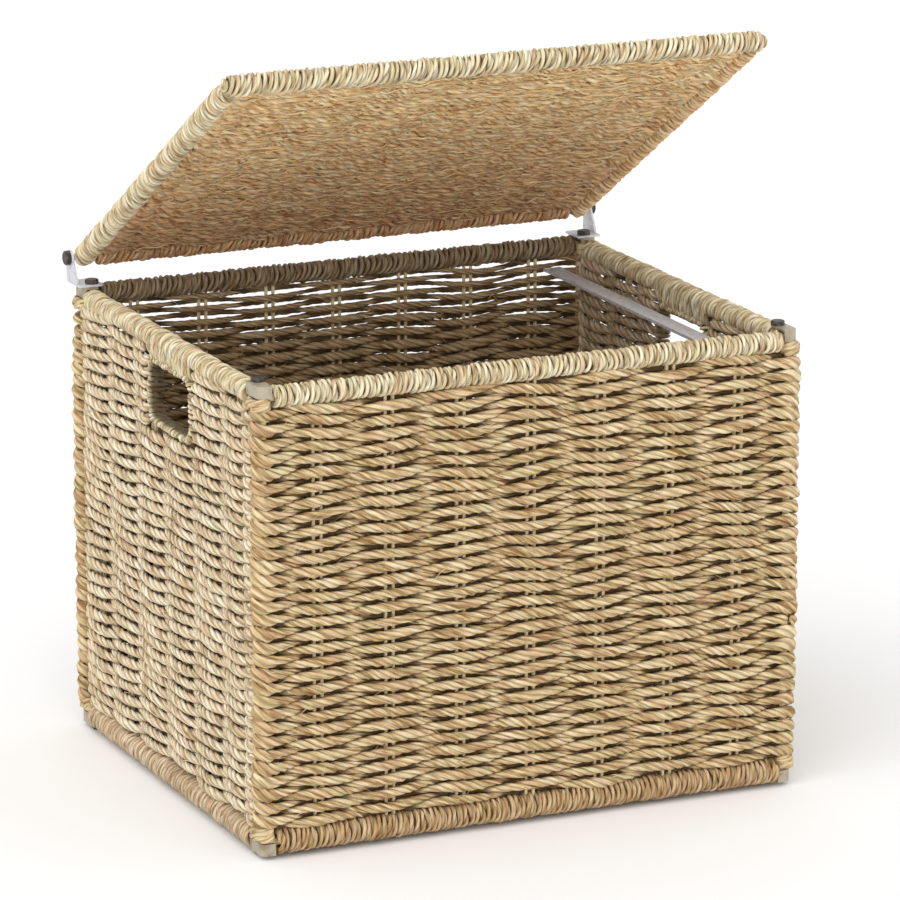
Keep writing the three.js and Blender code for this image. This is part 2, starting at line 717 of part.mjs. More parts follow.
for (const [sideName, sx] of [['left', -1], ['right', 1]]) {
  fileBox.add(part(`${sideName}_file_rail`, railBar(sx, 0), zinc));
  fileBox.add(part(`${sideName}_hinge_ear`, hingeEar(sx), zinc));
  lid.add(part(`lid_${sideName}_rim`, lidSideRim(sx), straw));
  lid.add(part(`${sideName}_hinge_cap`, hingeCap(sx), darkCap));
}

lid.add(part('lid_frame', lidFrame(), wire));
lid.add(part('lid_weave', lidWeave(), strawDark));
lid.add(part('lid_front_rim', lidCrossRim(lidFrontY), straw));
lid.add(part('lid_rear_rim', lidCrossRim(lidRearY), straw));
lid.add(part('hinge_rod', hingeRodBar(0), wire));
fileBox.add(lid);

export default fileBox;
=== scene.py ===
"""Looks of a woven seagrass file box: twisted rope woven round wire frames, wound rims and a lid.

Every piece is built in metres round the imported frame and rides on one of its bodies. The front
faces -Y, and the lid hinges at the top of the back.
"""

import json
import logging
import math
from dataclasses import dataclass, field
from enum import Enum
from typing import Any, Mapping, Optional, Sequence, Union

import bpy
import numpy as np
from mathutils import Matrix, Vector


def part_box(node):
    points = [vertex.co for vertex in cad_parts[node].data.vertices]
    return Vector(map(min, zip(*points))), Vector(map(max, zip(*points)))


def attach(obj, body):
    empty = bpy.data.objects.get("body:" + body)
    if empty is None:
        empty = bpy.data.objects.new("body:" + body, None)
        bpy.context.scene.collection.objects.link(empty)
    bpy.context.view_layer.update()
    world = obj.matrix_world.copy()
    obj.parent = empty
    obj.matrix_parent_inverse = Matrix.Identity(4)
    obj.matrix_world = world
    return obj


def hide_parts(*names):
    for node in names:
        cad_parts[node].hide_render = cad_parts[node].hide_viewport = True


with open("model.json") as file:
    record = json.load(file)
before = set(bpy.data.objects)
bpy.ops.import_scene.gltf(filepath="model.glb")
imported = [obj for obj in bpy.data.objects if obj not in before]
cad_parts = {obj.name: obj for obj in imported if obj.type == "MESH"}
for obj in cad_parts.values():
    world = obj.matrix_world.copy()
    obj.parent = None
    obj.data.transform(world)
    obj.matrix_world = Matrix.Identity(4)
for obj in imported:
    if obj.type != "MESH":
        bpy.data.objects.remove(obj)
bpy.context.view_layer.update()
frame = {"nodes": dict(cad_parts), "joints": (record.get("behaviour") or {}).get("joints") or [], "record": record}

MM = 0.001
TURN = 2 * math.pi
UP = (0.0, 0.0, 1.0)
STAKE_PITCH = 49.5 * MM
STAKES = [i * STAKE_PITCH for i in range(-3, 4)]
BAKE_MAP = "OFBake"
GRAIN_RANGE = 40.0

logging.basicConfig(level=logging.INFO, format="%(message)s")
log = logging.getLogger("file_box")

record = frame["record"]
body_of = {node: body for body, nodes in record["behaviour"]["bodies"].items() for node in nodes}

Triple = tuple[float, float, float]


class Side(Enum):
    """A wall of the box, by the word that its nodes start with."""

    FRONT = "front"
    BACK = "back"
    LEFT = "left"
    RIGHT = "right"

    @property
    def crosswise(self) -> bool:
        """Whether the wall runs from the left of the box to its right."""
        return self in (Side.FRONT, Side.BACK)

    @property
    def sign(self) -> int:
        """Which way the wall faces along its axis."""
        return -1 if self in (Side.FRONT, Side.LEFT) else 1


class Level(Enum):
    """Where a rim or a clip sits on a wall, by the word in its node's name."""

    BOTTOM = "bottom"
    TOP = "top"


def linear(red: int, green: int, blue: int) -> Triple:
    """Linear colour of a display colour given from 0 to 255."""
    shares = [value / 255 for value in (red, green, blue)]
    return tuple(s / 12.92 if s <= 0.04045 else ((s + 0.055) / 1.055) ** 2.4 for s in shares)


def smooth(low: float, high: float, value: np.ndarray) -> np.ndarray:
    """0 below low, 1 above high, and a smooth rise between them."""
    share = np.clip((value - low) / (high - low), 0, 1)
    return share * share * (3 - 2 * share)


def unit(vectors: np.ndarray) -> np.ndarray:
    """The same directions with length 1."""
    return vectors / np.maximum(np.linalg.norm(vectors, axis=-1, keepdims=True), 1e-12)


def run_lengths(points: np.ndarray) -> np.ndarray:
    """Distance of each point from the first along their run."""
    return np.concatenate([[0.0], np.cumsum(np.linalg.norm(np.diff(points, axis=0), axis=1))])


def drift(rng: np.random.Generator, count: int, knot: float, columns: int = 1) -> np.ndarray:
    """Smooth random values from -1 to 1 along a run.

    Args:
        rng: Source of the values.
        count: Number of samples in the run.
        knot: Samples from one random value to the next.
        columns: Number of runs side by side.

    Returns:
        An array of count rows and that many columns.
    """
    knots = rng.uniform(-1, 1, (int(count / knot) + 3, columns))
    place = np.arange(count) / knot
    whole = place.astype(int)
    share = (place - whole)[:, None]
    share = share * share * (3 - 2 * share)
    return knots[whole] * (1 - share) + knots[whole + 1] * share


@dataclass(frozen=True)
class Basis:
    """A local frame: along a piece, out of its face, and up its face."""

    origin: Triple
    along: Triple
    out: Triple
    rise: Triple

    @property
    def axes(self) -> np.ndarray:
        """Its three directions, one row each."""
        return np.array([self.along, self.out, self.rise])

    def points(self, local: np.ndarray) -> np.ndarray:
        """World points of local ones."""
        return local @ self.axes + np.array(self.origin)

    def local(self, points: np.ndarray) -> np.ndarray:
        """Local places of world points."""
        return (points - np.array(self.origin)) @ self.axes.T

    def moved(self, along: float = 0.0, rise: float = 0.0) -> "Basis":
        """The same frame with its origin moved in the plane of its face."""
        return Basis(tuple(self.points(np.array([along, 0.0, rise]))), self.along, self.out, self.rise)

    def upright(self) -> "Basis":
        """The frame of a roll that runs up this frame's face."""
        return Basis(self.origin, self.rise, self.out, tuple(-np.array(self.along)))


@dataclass(frozen=True)
class Rope:
    """A twisted rope: its size, the length of one turn of its plies, and how finely it is made.

    The knots are the number of rings from one random value to the next.
    """

    radius: float
    turn: float
    sides: int = 12
    step: float = 1.4 * MM
    ply_share: float = 0.68
    rough_share: float = 0.1
    slack: float = 0.9
    blades: int = 2
    grain_knot: float = 5.0
    swell_knot: float = 15.0
    slack_knot: float = 22.0
    taper_rings: int = 3

    def section(self) -> tuple[np.ndarray, np.ndarray]:
        """Works out the lobed section.

        Returns:
            Angles round it, and its reach there as a share of the radius.
        """
        angles = np.arange(self.sides) * TURN / self.sides
        offset = 1 - self.ply_share
        if self.blades > 2:
            return angles, 1 - offset * (1 - np.abs(np.cos(self.blades * angles / 2)))
        chord = np.sqrt(np.maximum(self.ply_share**2 - (offset * np.sin(angles)) ** 2, 0))
        return angles, offset * np.abs(np.cos(angles)) + chord


@dataclass
class Route:
    """A rope's centre line: its points, the direction of its first half width, and how much it is
    squashed along that direction and across it, at each point or all along."""

    centre: np.ndarray
    side: np.ndarray
    side_share: Union[float, np.ndarray] = 1.0
    up_share: Union[float, np.ndarray] = 1.0

    def __post_init__(self) -> None:
        """Gives every point a share of its own."""
        self.side_share = np.broadcast_to(self.side_share, len(self.centre))
        self.up_share = np.broadcast_to(self.up_share, len(self.centre))


@dataclass
class Strand:
    """One closed tube: rings of points, and what its finish reads at each point."""

    rings: np.ndarray
    grain: np.ndarray
    # The third array is painted shade in hollows and creases; the fourth is age together with painted shade.
    hollow: np.ndarray
    age: np.ndarray

    @property
    def lengths(self) -> np.ndarray:
        """Distance of each ring from the first along the tube."""
        return run_lengths(self.rings.mean(axis=1))

    def shade(self, cavity_shade: np.ndarray, crease_share: float) -> None:
        """Paints shade on the strand where it lies deep, and in the creases between its plies."""
        self.hollow = np.clip(np.maximum(cavity_shade, crease_share * self.hollow), 0, 1)


def laid(route: Route, rope: Rope, rng: np.random.Generator) -> Strand:
    """Lays a twisted rope along a route.

    Args:
        route: Where the rope goes, and its room there.
        rope: The rope's sizes.
        rng: Source of its unevenness.

    Returns:
        The rope as a strand; its painted shade values hold painted shade in the creases between its plies.
    """
    count = len(route.centre)
    length = run_lengths(route.centre)
    tangent = unit(np.gradient(route.centre, axis=0))
    side = unit(route.side - tangent * np.sum(route.side * tangent, axis=1, keepdims=True))
    up = np.cross(side, tangent)
    angles, reach = rope.section()
    slack = drift(rng, count, rope.slack_knot)[:, 0]
    phase = TURN * length / rope.turn + rope.slack * slack + rng.uniform(0, TURN)
    swell = 1 + rope.rough_share * drift(rng, count, rope.swell_knot)[:, 0]
    inward = np.minimum(np.arange(count), np.arange(count)[::-1]) + 0.6
    swell = swell * np.sqrt(1 - (1 - np.clip(inward / rope.taper_rings, 0, 1)) ** 2)
    uneven = 1 + rope.rough_share * drift(rng, count, rope.grain_knot, rope.sides)
    radii = rope.radius * reach[None, :] * uneven * swell[:, None]
    turned = angles[None, :] + phase[:, None]
    across = (radii * np.cos(turned) * route.side_share[:, None])[:, :, None]
    upward = (radii * np.sin(turned) * route.up_share[:, None])[:, :, None]
    rings = route.centre[:, None] + across * side[:, None] + upward * up[:, None]
    grain = np.empty((count, rope.sides, 3))
    grain[:, :, 0] = (rng.uniform(0, GRAIN_RANGE) + length)[:, None]
    grain[:, :, 1] = rope.radius * reach * np.cos(angles)
    grain[:, :, 2] = rope.radius * reach * np.sin(angles)
    # Painted shade in the creases between the plies.
    crease = ((1 - reach) / (1 - reach.min())) ** 2
    hollow = np.repeat(crease[None, :], count, axis=0)
    return Strand(rings, grain, hollow, np.zeros((count, rope.sides)))


def filled_mesh(
    name: str, points: np.ndarray, corners: np.ndarray, sizes: np.ndarray
) -> bpy.types.Mesh:
    """Makes a smooth mesh from plain arrays.

    Args:
        name: The mesh's name.
        points: Its points, one row each.
        corners: Point numbers of all faces, one face after another.
        sizes: Number of corners of each face.

    Returns:
        The mesh.
    """
    mesh = bpy.data.meshes.new(name)
    mesh.vertices.add(len(points))
    mesh.vertices.foreach_set("co", points.astype(np.float32).ravel())
    mesh.loops.add(len(corners))
    mesh.loops.foreach_set("vertex_index", corners.astype(np.int32))
    mesh.polygons.add(len(sizes))
    starts = np.concatenate([[0], np.cumsum(sizes)[:-1]])
    mesh.polygons.foreach_set("loop_start", starts.astype(np.int32))
    mesh.polygons.foreach_set("use_smooth", np.ones(len(sizes), bool))
    mesh.update(calc_edges=True)
    mesh.validate()
    return mesh


@dataclass
class Bundle:
    """Strands that become one mesh, with a map that lays them out in strips."""

    strands: Sequence[Strand]
    strip_margin: float = 0.03
    strip_share: float = 0.97
    end_place: float = 0.985
    end_radius: float = 0.2

    def _faces(self, strand: Strand, first: int) -> tuple[np.ndarray, np.ndarray]:
        """Numbers the corners of a strand's faces.

        Args:
            strand: The strand.
            first: Number of its first point.

        Returns:
            Point numbers of its quads, and of its two end faces.
        """
        count, sides = strand.rings.shape[:2]
        ring = np.arange(count - 1)[:, None] * sides + first
        k = np.arange(sides)[None, :]
        after = (k + 1) % sides
        quads = np.stack([ring + k, ring + sides + k, ring + sides + after, ring + after], axis=2)
        start = first + np.arange(sides)
        end = first + (count - 1) * sides + np.arange(sides)[::-1]
        return quads.reshape(-1, 4), np.stack([start, end])

    def _map(self, strand: Strand, before: float, strip: float, strips: int) -> np.ndarray:
        """Lays a strand out on the map.

        Args:
            strand: The strand.
            before: Length of the strands before it.
            strip: Length of one strip.
            strips: Number of strips.

        Returns:
            Map places of its quads, corner by corner, then of its end faces.
        """
        sides = strand.rings.shape[1]
        length = strand.lengths + before
        row = np.floor(length[:-1] / strip)
        low, high = length[:-1] / strip - row, length[1:] / strip - row
        height = 1 - 2 * self.strip_margin
        k = np.arange(sides)
        base = (row[:, None] + self.strip_margin + height * k[None, :] / sides) / strips
        top = base + height / sides / strips
        start = np.repeat(low[:, None], sides, axis=1) * self.strip_share
        end = np.repeat(high[:, None], sides, axis=1) * self.strip_share
        corners = np.stack([start, base, end, base, end, top, start, top], axis=2)
        angle = TURN * k / sides
        disc = np.stack([np.cos(angle), np.sin(angle)], axis=1) * self.end_radius / strips
        spot = np.array([self.end_place, (strips - 0.5) / strips])
        return np.concatenate([corners.reshape(-1, 2), disc + spot, disc + spot])

    def mesh(self, name: str) -> bpy.types.Mesh:
        """Makes the mesh of all strands.

        Args:
            name: The mesh's name.

        Returns:
            A mesh with the attributes of grain, painted shade, and age with painted shade, and its map.
        """
        total = sum(strand.lengths[-1] for strand in self.strands)
        ring = self.strands[0].rings[len(self.strands[0].rings) // 2]
        girth = np.linalg.norm(ring - np.roll(ring, 1, axis=0), axis=1).sum()
        strip = math.sqrt(total * girth)
        strips = math.ceil(total / strip) + 1
        points, corners, sizes, maps = [], [], [], []
        first, before = 0, 0.0
        for strand in self.strands:
            quads, ends = self._faces(strand, first)
            points.append(strand.rings.reshape(-1, 3))
            corners += [quads.ravel(), ends.ravel()]
            sizes += [np.full(len(quads), 4), np.full(2, ends.shape[1])]
            maps.append(self._map(strand, before, strip, strips))
            first += len(points[-1])
            before += strand.lengths[-1]
        mesh = filled_mesh(name, *(np.concatenate(part) for part in (points, corners, sizes)))
        layer = mesh.uv_layers.new(name=BAKE_MAP)
        layer.uv.foreach_set("vector", np.concatenate(maps).astype(np.float32).ravel())
        for key, kind in (("grain", "FLOAT_VECTOR"), ("hollow", "FLOAT"), ("age", "FLOAT")):
            values = np.concatenate([getattr(strand, key).reshape(-1) for strand in self.strands])
            attribute = mesh.attributes.new(key, kind, "POINT")
            attribute.data.foreach_set("vector" if key == "grain" else "value", values.astype(np.float32))
        return mesh


def placed(
    mesh: bpy.types.Mesh,
    finish: bpy.types.Material,
    node: str,
    stands_for_node: bool = True,
    bevel: float = 0.0,
) -> None:
    """node: The CAD node whose body it shares.
        stands_for_node: Whether it replaces that node.
        bevel: Width of the rounding of its edges, if any.
    """
    piece = bpy.data.objects.new(mesh.name, mesh)
    bpy.context.scene.collection.objects.link(piece)
    mesh.materials.append(finish)
    if bevel:
        rounding = piece.modifiers.new("rounded_edges", "BEVEL")
        rounding.width = bevel
        rounding.segments = 2
        rounding.limit_method = "ANGLE"
        rounding.angle_limit = math.radians(35)
        rounding.harden_normals = True
    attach(piece, body_of[node])
    if stands_for_node:
        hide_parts(node)
    log.info("%s: %d faces on %s", piece.name, len(mesh.polygons), body_of[node])


def rounded(node: str, finish: bpy.types.Material, bevel: float) -> None:
    """Stands a copy of a CAD solid with rounded edges in its place.

    Args:
        node: The CAD node.
        finish: Its material.
        bevel: Width of the rounding.
    """
    mesh = frame["nodes"][node].data.copy()
    mesh.name = f"{node}_rounded"
    mesh.materials.clear()
    mesh.polygons.foreach_set("use_smooth", np.ones(len(mesh.polygons), bool))
    placed(mesh, finish, node, bevel=bevel)


class Socket:
    """A value in a material: operators on it add the nodes that work it out."""

    def __init__(self, shader: "Shader", link: bpy.types.NodeSocket) -> None:
        """Wraps one output of a node."""
        self.shader = shader
        self.link = link

    def _math(self, operation: str, first: Any, second: Any) -> "Socket":
        """Adds a Math node, or a Vector Math node where a vector takes part.

        Args:
            operation: The node's operation.
            first: Its first value.
            second: Its second value.

        Returns:
            The result.
        """
        pair = (first, second)
        is_vector = any(isinstance(v, tuple) or getattr(v, "is_vector", False) for v in pair)
        kind = "ShaderNodeVectorMath" if is_vector else "ShaderNodeMath"
        if is_vector:
            pair = [(v, v, v) if isinstance(v, (int, float)) else v for v in pair]
        return self.shader.add(kind, {"operation": operation}, dict(enumerate(pair)))

    @property
    def is_vector(self) -> bool:
        """Whether the value is a vector."""
        return self.link.type == "VECTOR"

    def __add__(self, other: Any) -> "Socket":
        """Sum."""
        return self._math("ADD", self, other)

    __radd__ = __add__

    def __mul__(self, other: Any) -> "Socket":
        """Product."""
        return self._math("MULTIPLY", self, other)

    __rmul__ = __mul__

    def __sub__(self, other: Any) -> "Socket":
        """Difference."""
        return self._math("SUBTRACT", self, other)

    def __rsub__(self, other: Any) -> "Socket":
        """Difference from a value on the left."""
        return self._math("SUBTRACT", other, self)

    def between(self, low: float, high: float) -> "Socket":
        """0 at low or below, 1 at high or above, and a smooth rise between them."""
        settings = {"interpolation_type": "SMOOTHSTEP", "clamp": True}
        return self.shader.add("ShaderNodeMapRange", settings, {0: self, 1: low, 2: high})

    def mix(self, first: Any, second: Any) -> "Socket":
        """Colour that goes from the first to the second as this value goes from 0 to 1."""
        settings = {"data_type": "RGBA", "clamp_factor": True}
        factor, colour_a, colour_b, result = 0, 6, 7, 2
        values = {factor: self, colour_a: first, colour_b: second}
        return self.shader.add("ShaderNodeMix", settings, values, result)


class Shader:
    """The node tree of a material or a world, built from expressions."""

    def __init__(self, owner: Union[bpy.types.Material, bpy.types.World]) -> None:
        """Starts an empty tree."""
        owner.use_nodes = True
        self.owner = owner
        self.tree = owner.node_tree
        self.tree.nodes.clear()

    def add(
        self,
        kind: str,
        settings: Optional[Mapping[str, Any]] = None,
        values: Optional[Mapping[Any, Any]] = None,
        output: Any = 0,
    ) -> Optional[Socket]:
        """Adds any node.

        Args:
            kind: The node's type.
            settings: Its own settings, set first; stops are a colour ramp's places and colours.
            values: Values or links of its inputs, by name or number.
            output: The output to return, by name or number.

        Returns:
            That output, if the node has any.
        """
        node = self.tree.nodes.new(kind)
        for key, value in (settings or {}).items():
            if key == "stops":
                ramp = node.color_ramp
                while len(ramp.elements) < len(value):
                    ramp.elements.new(0.5)
                for element, (place, colour) in zip(ramp.elements, value):
                    element.position = place
                    element.color = (*colour, 1)
            else:
                setattr(node, key, value)
        for key, value in (values or {}).items():
            if isinstance(value, Socket):
                self.tree.links.new(value.link, node.inputs[key])
            else:
                kept = node.inputs[key]
                is_colour = kept.type == "RGBA" and len(value) == 3
                kept.default_value = (*value, 1) if is_colour else value
        return Socket(self, node.outputs[output]) if node.outputs else None

    def noise(self, vector: Socket, scale: float = 1.0, detail: float = 2.0) -> Socket:
        """Cloudy values about a half."""
        return self.add("ShaderNodeTexNoise", None, {"Vector": vector, "Scale": scale, "Detail": detail})

    def bump(self, height: Socket, distance: float, strength: float) -> Socket:
        """Normal of a surface raised by a height from 0 to 1 times a distance."""
        values = {"Height": height, "Distance": distance, "Strength": strength}
        return self.add("ShaderNodeBump", None, values)

    def surface(self, values: Mapping[str, Any]) -> bpy.types.Material:
        """Closes the tree with a Principled shader of those values, and returns the material."""
        shader = self.add("ShaderNodeBsdfPrincipled", None, values)
        self.add("ShaderNodeOutputMaterial", None, {"Surface": shader})
        return self.owner


@dataclass(frozen=True)
class Seagrass:
    """Dry twisted seagrass: streaks along the blades, tinted lots, and painted shade in dark brown in the hollows
    and creases.

    The grains are noise scales along a blade and across it.
    """

    name: str
    pale: Triple = linear(240, 221, 182)
    straw: Triple = linear(211, 183, 135)
    brown: Triple = linear(146, 108, 62)
    fleck: Triple = linear(142, 102, 60)
    # deep is the colour of the painted shade in hollows and creases, and depth how strongly it is painted.
    deep: Triple = linear(62, 36, 4)
    rosy: Triple = linear(208, 166, 130)
    green: Triple = linear(196, 190, 138)
    # The aged colours stand for age together with painted shade.
    aged_and_shaded: Triple = linear(118, 76, 44)
    aged_and_shaded_pale: Triple = linear(178, 128, 84)
    depth: float = 0.9
    relief: float = 0.7 * MM
    blade_grain: Triple = (105.0, 620.0, 620.0)
    fibre_grain: Triple = (170.0, 1900.0, 1900.0)
    lot_grain: Triple = (11.0, 170.0, 170.0)
    tint_grain: Triple = (15.0, 210.0, 210.0)
    fleck_grain: Triple = (70.0, 620.0, 620.0)

    def material(self) -> bpy.types.Material:
        """Builds the material.

        Returns:
            The material.
        """
        shader = Shader(bpy.data.materials.new(self.name))
        grain = shader.add("ShaderNodeAttribute", {"attribute_name": "grain"}, output="Vector")
        hollow = shader.add("ShaderNodeAttribute", {"attribute_name": "hollow"}, output="Fac")
        age = shader.add("ShaderNodeAttribute", {"attribute_name": "age"}, output="Fac")
        blades = shader.noise(grain * self.blade_grain)
        fibres = shader.noise(grain * self.fibre_grain, detail=1.0)
        lots = shader.noise(grain * self.lot_grain, detail=1.0)
        tints = shader.noise((grain + (7.3, 0.0, 0.0)) * self.tint_grain, detail=0.0)
        flecks = shader.noise((grain + (3.1, 0.0, 0.0)) * self.fleck_grain)
        streak = blades * 0.68 + fibres * 0.32
        stops = [(0.37, self.brown), (0.48, self.straw), (0.6, self.pale)]
        tone = streak * 0.66 + lots * 0.34
        colour = shader.add("ShaderNodeValToRGB", {"stops": stops}, {"Fac": tone})
        colour = (tints.between(0.56, 0.72) * 0.4).mix(colour, self.rosy)
        colour = ((1 - tints).between(0.58, 0.74) * 0.3).mix(colour, self.green)
        colour = (flecks.between(0.58, 0.68) * 0.65).mix(colour, self.fleck)
        # Aged colour, partly age and partly painted shade, where the age value is high.
        colour = (age * 0.8).mix(colour, streak.between(0.3, 0.7).mix(self.aged_and_shaded, self.aged_and_shaded_pale))
        # Painted shade: dark brown in the hollows between layers and in the creases between plies.
        colour = (hollow * self.depth).mix(colour, self.deep)
        values = {
            "Base Color": colour,
            "Roughness": 0.86 - streak.between(0.4, 0.75) * 0.24,
            "Normal": shader.bump(blades * 0.5 + fibres * 0.5, self.relief, 0.9),
            "Specular IOR Level": 0.25,
        }
        return shader.surface(values)


@dataclass(frozen=True)
class SheetMetal:
    """Bent sheet, wire or a cap: dull, with faint mottling and fine rubbed marks."""

    name: str
    colour: Triple
    worn: Triple
    metallic: float
    roughness: float
    mottle: float = 260.0
    marks_grain: Triple = (900.0, 900.0, 140.0)
    relief: float = 0.06 * MM

    def material(self) -> bpy.types.Material:
        """Builds the material.

        Returns:
            The material.
        """
        shader = Shader(bpy.data.materials.new(self.name))
        place = shader.add("ShaderNodeTexCoord", output="Object")
        mottle = shader.noise(place, self.mottle, 3.0)
        marks = shader.noise(place * self.marks_grain)
        values = {
            "Base Color": mottle.between(0.45, 0.68).mix(self.colour, self.worn),
            "Roughness": self.roughness + marks.between(0.3, 0.7) * 0.16,
            "Metallic": self.metallic,
            "Normal": shader.bump(marks, self.relief, 0.4),
        }
        return shader.surface(values)


@dataclass(frozen=True)
class PinMetal:
    """A pale corner pin with a dark head."""

    name: str
    rod: Triple = linear(178, 160, 126)
    head: Triple = linear(56, 49, 44)
    rubbed: Triple = linear(92, 82, 74)
    head_level: float = 310.2 * MM
    edge: float = 0.2 * MM
    marks_scale: float = 700.0
    relief: float = 0.05 * MM

    def material(self) -> bpy.types.Material:
        """Builds the material.

        Returns:
            The material.
        """
        shader = Shader(bpy.data.materials.new(self.name))
        place = shader.add("ShaderNodeTexCoord", output="Object")
        level = shader.add("ShaderNodeSeparateXYZ", None, {0: place}, "Z")
        marks = shader.noise(place, self.marks_scale)
        head = marks.between(0.4, 0.7).mix(self.head, self.rubbed)
        values = {
            "Base Color": level.between(self.head_level - self.edge, self.head_level).mix(self.rod, head),
            "Roughness": 0.38 + marks * 0.2,
            "Metallic": 0.15,
            "Normal": shader.bump(marks, self.relief, 0.4),
        }
        return shader.surface(values)


class Finishes:
    """The finishes that the pieces share, each built once."""

    def __init__(self) -> None:
        """Builds the finishes."""
        self.wall = Seagrass("front_rope").material()
        # The side walls get a paler copy of the rope: painted light on the side walls.
        self.side = Seagrass(
            "side_rope_painted_light", linear(255, 244, 220), linear(234, 214, 178), linear(182, 152, 112)
        ).material()
        # The back rope's aged colours are darker brown: painted shade on the wall's inner side, with some age.
        self.back = Seagrass(
            "back_rope", aged_and_shaded=linear(86, 62, 43), aged_and_shaded_pale=linear(160, 129, 94)
        ).material()
        # The wound strand's aged colours are dark: painted shade on the back top rim, with some age.
        self.wrap = Seagrass(
            "wound_strand", linear(250, 243, 216), linear(228, 212, 172), linear(176, 146, 102),
            aged_and_shaded=linear(76, 54, 36), aged_and_shaded_pale=linear(142, 112, 80),
        ).material()
        # The lid rope's aged colours are reddish: painted shade with a painted reddish reflection, and some age.
        self.field = Seagrass(
            "lid_rope", linear(255, 242, 198), linear(255, 215, 155), linear(198, 143, 88),
            aged_and_shaded=linear(122, 66, 44), aged_and_shaded_pale=linear(204, 138, 98), depth=0.65,
        ).material()
        self.wire = SheetMetal(
            "pale_wire", linear(226, 208, 168), linear(188, 166, 126), metallic=0.0, roughness=0.5
        ).material()
        self.clip = SheetMetal(
            "pale_clip", linear(178, 167, 146), linear(142, 130, 108), metallic=0.15, roughness=0.45,
            mottle=90.0,
        ).material()
        self.sheet = SheetMetal(
            "pale_sheet", linear(214, 214, 220), linear(194, 194, 200), metallic=0.3, roughness=0.4
        ).material()
        self.cap = SheetMetal(
            "dark_cap", linear(50, 43, 38), linear(84, 74, 66), metallic=0.2, roughness=0.4
        ).material()
        self.pin = PinMetal("corner_pin").material()


@dataclass
class RopeWork:
    """A piece of rope work: its name, the CAD node that it belongs to, its finish and its seed."""

    name: str
    node: str
    finish: bpy.types.Material
    seed: int

    def __post_init__(self) -> None:
        """Starts its random draws."""
        self.rng = np.random.default_rng(self.seed)

    def place(self, strands: Sequence[Strand], name: str = "", stands_for_node: bool = True) -> None:
        """Puts strands into the scene as one piece, under its own name if no other is given."""
        placed(Bundle(strands).mesh(name or self.name), self.finish, self.node, stands_for_node)


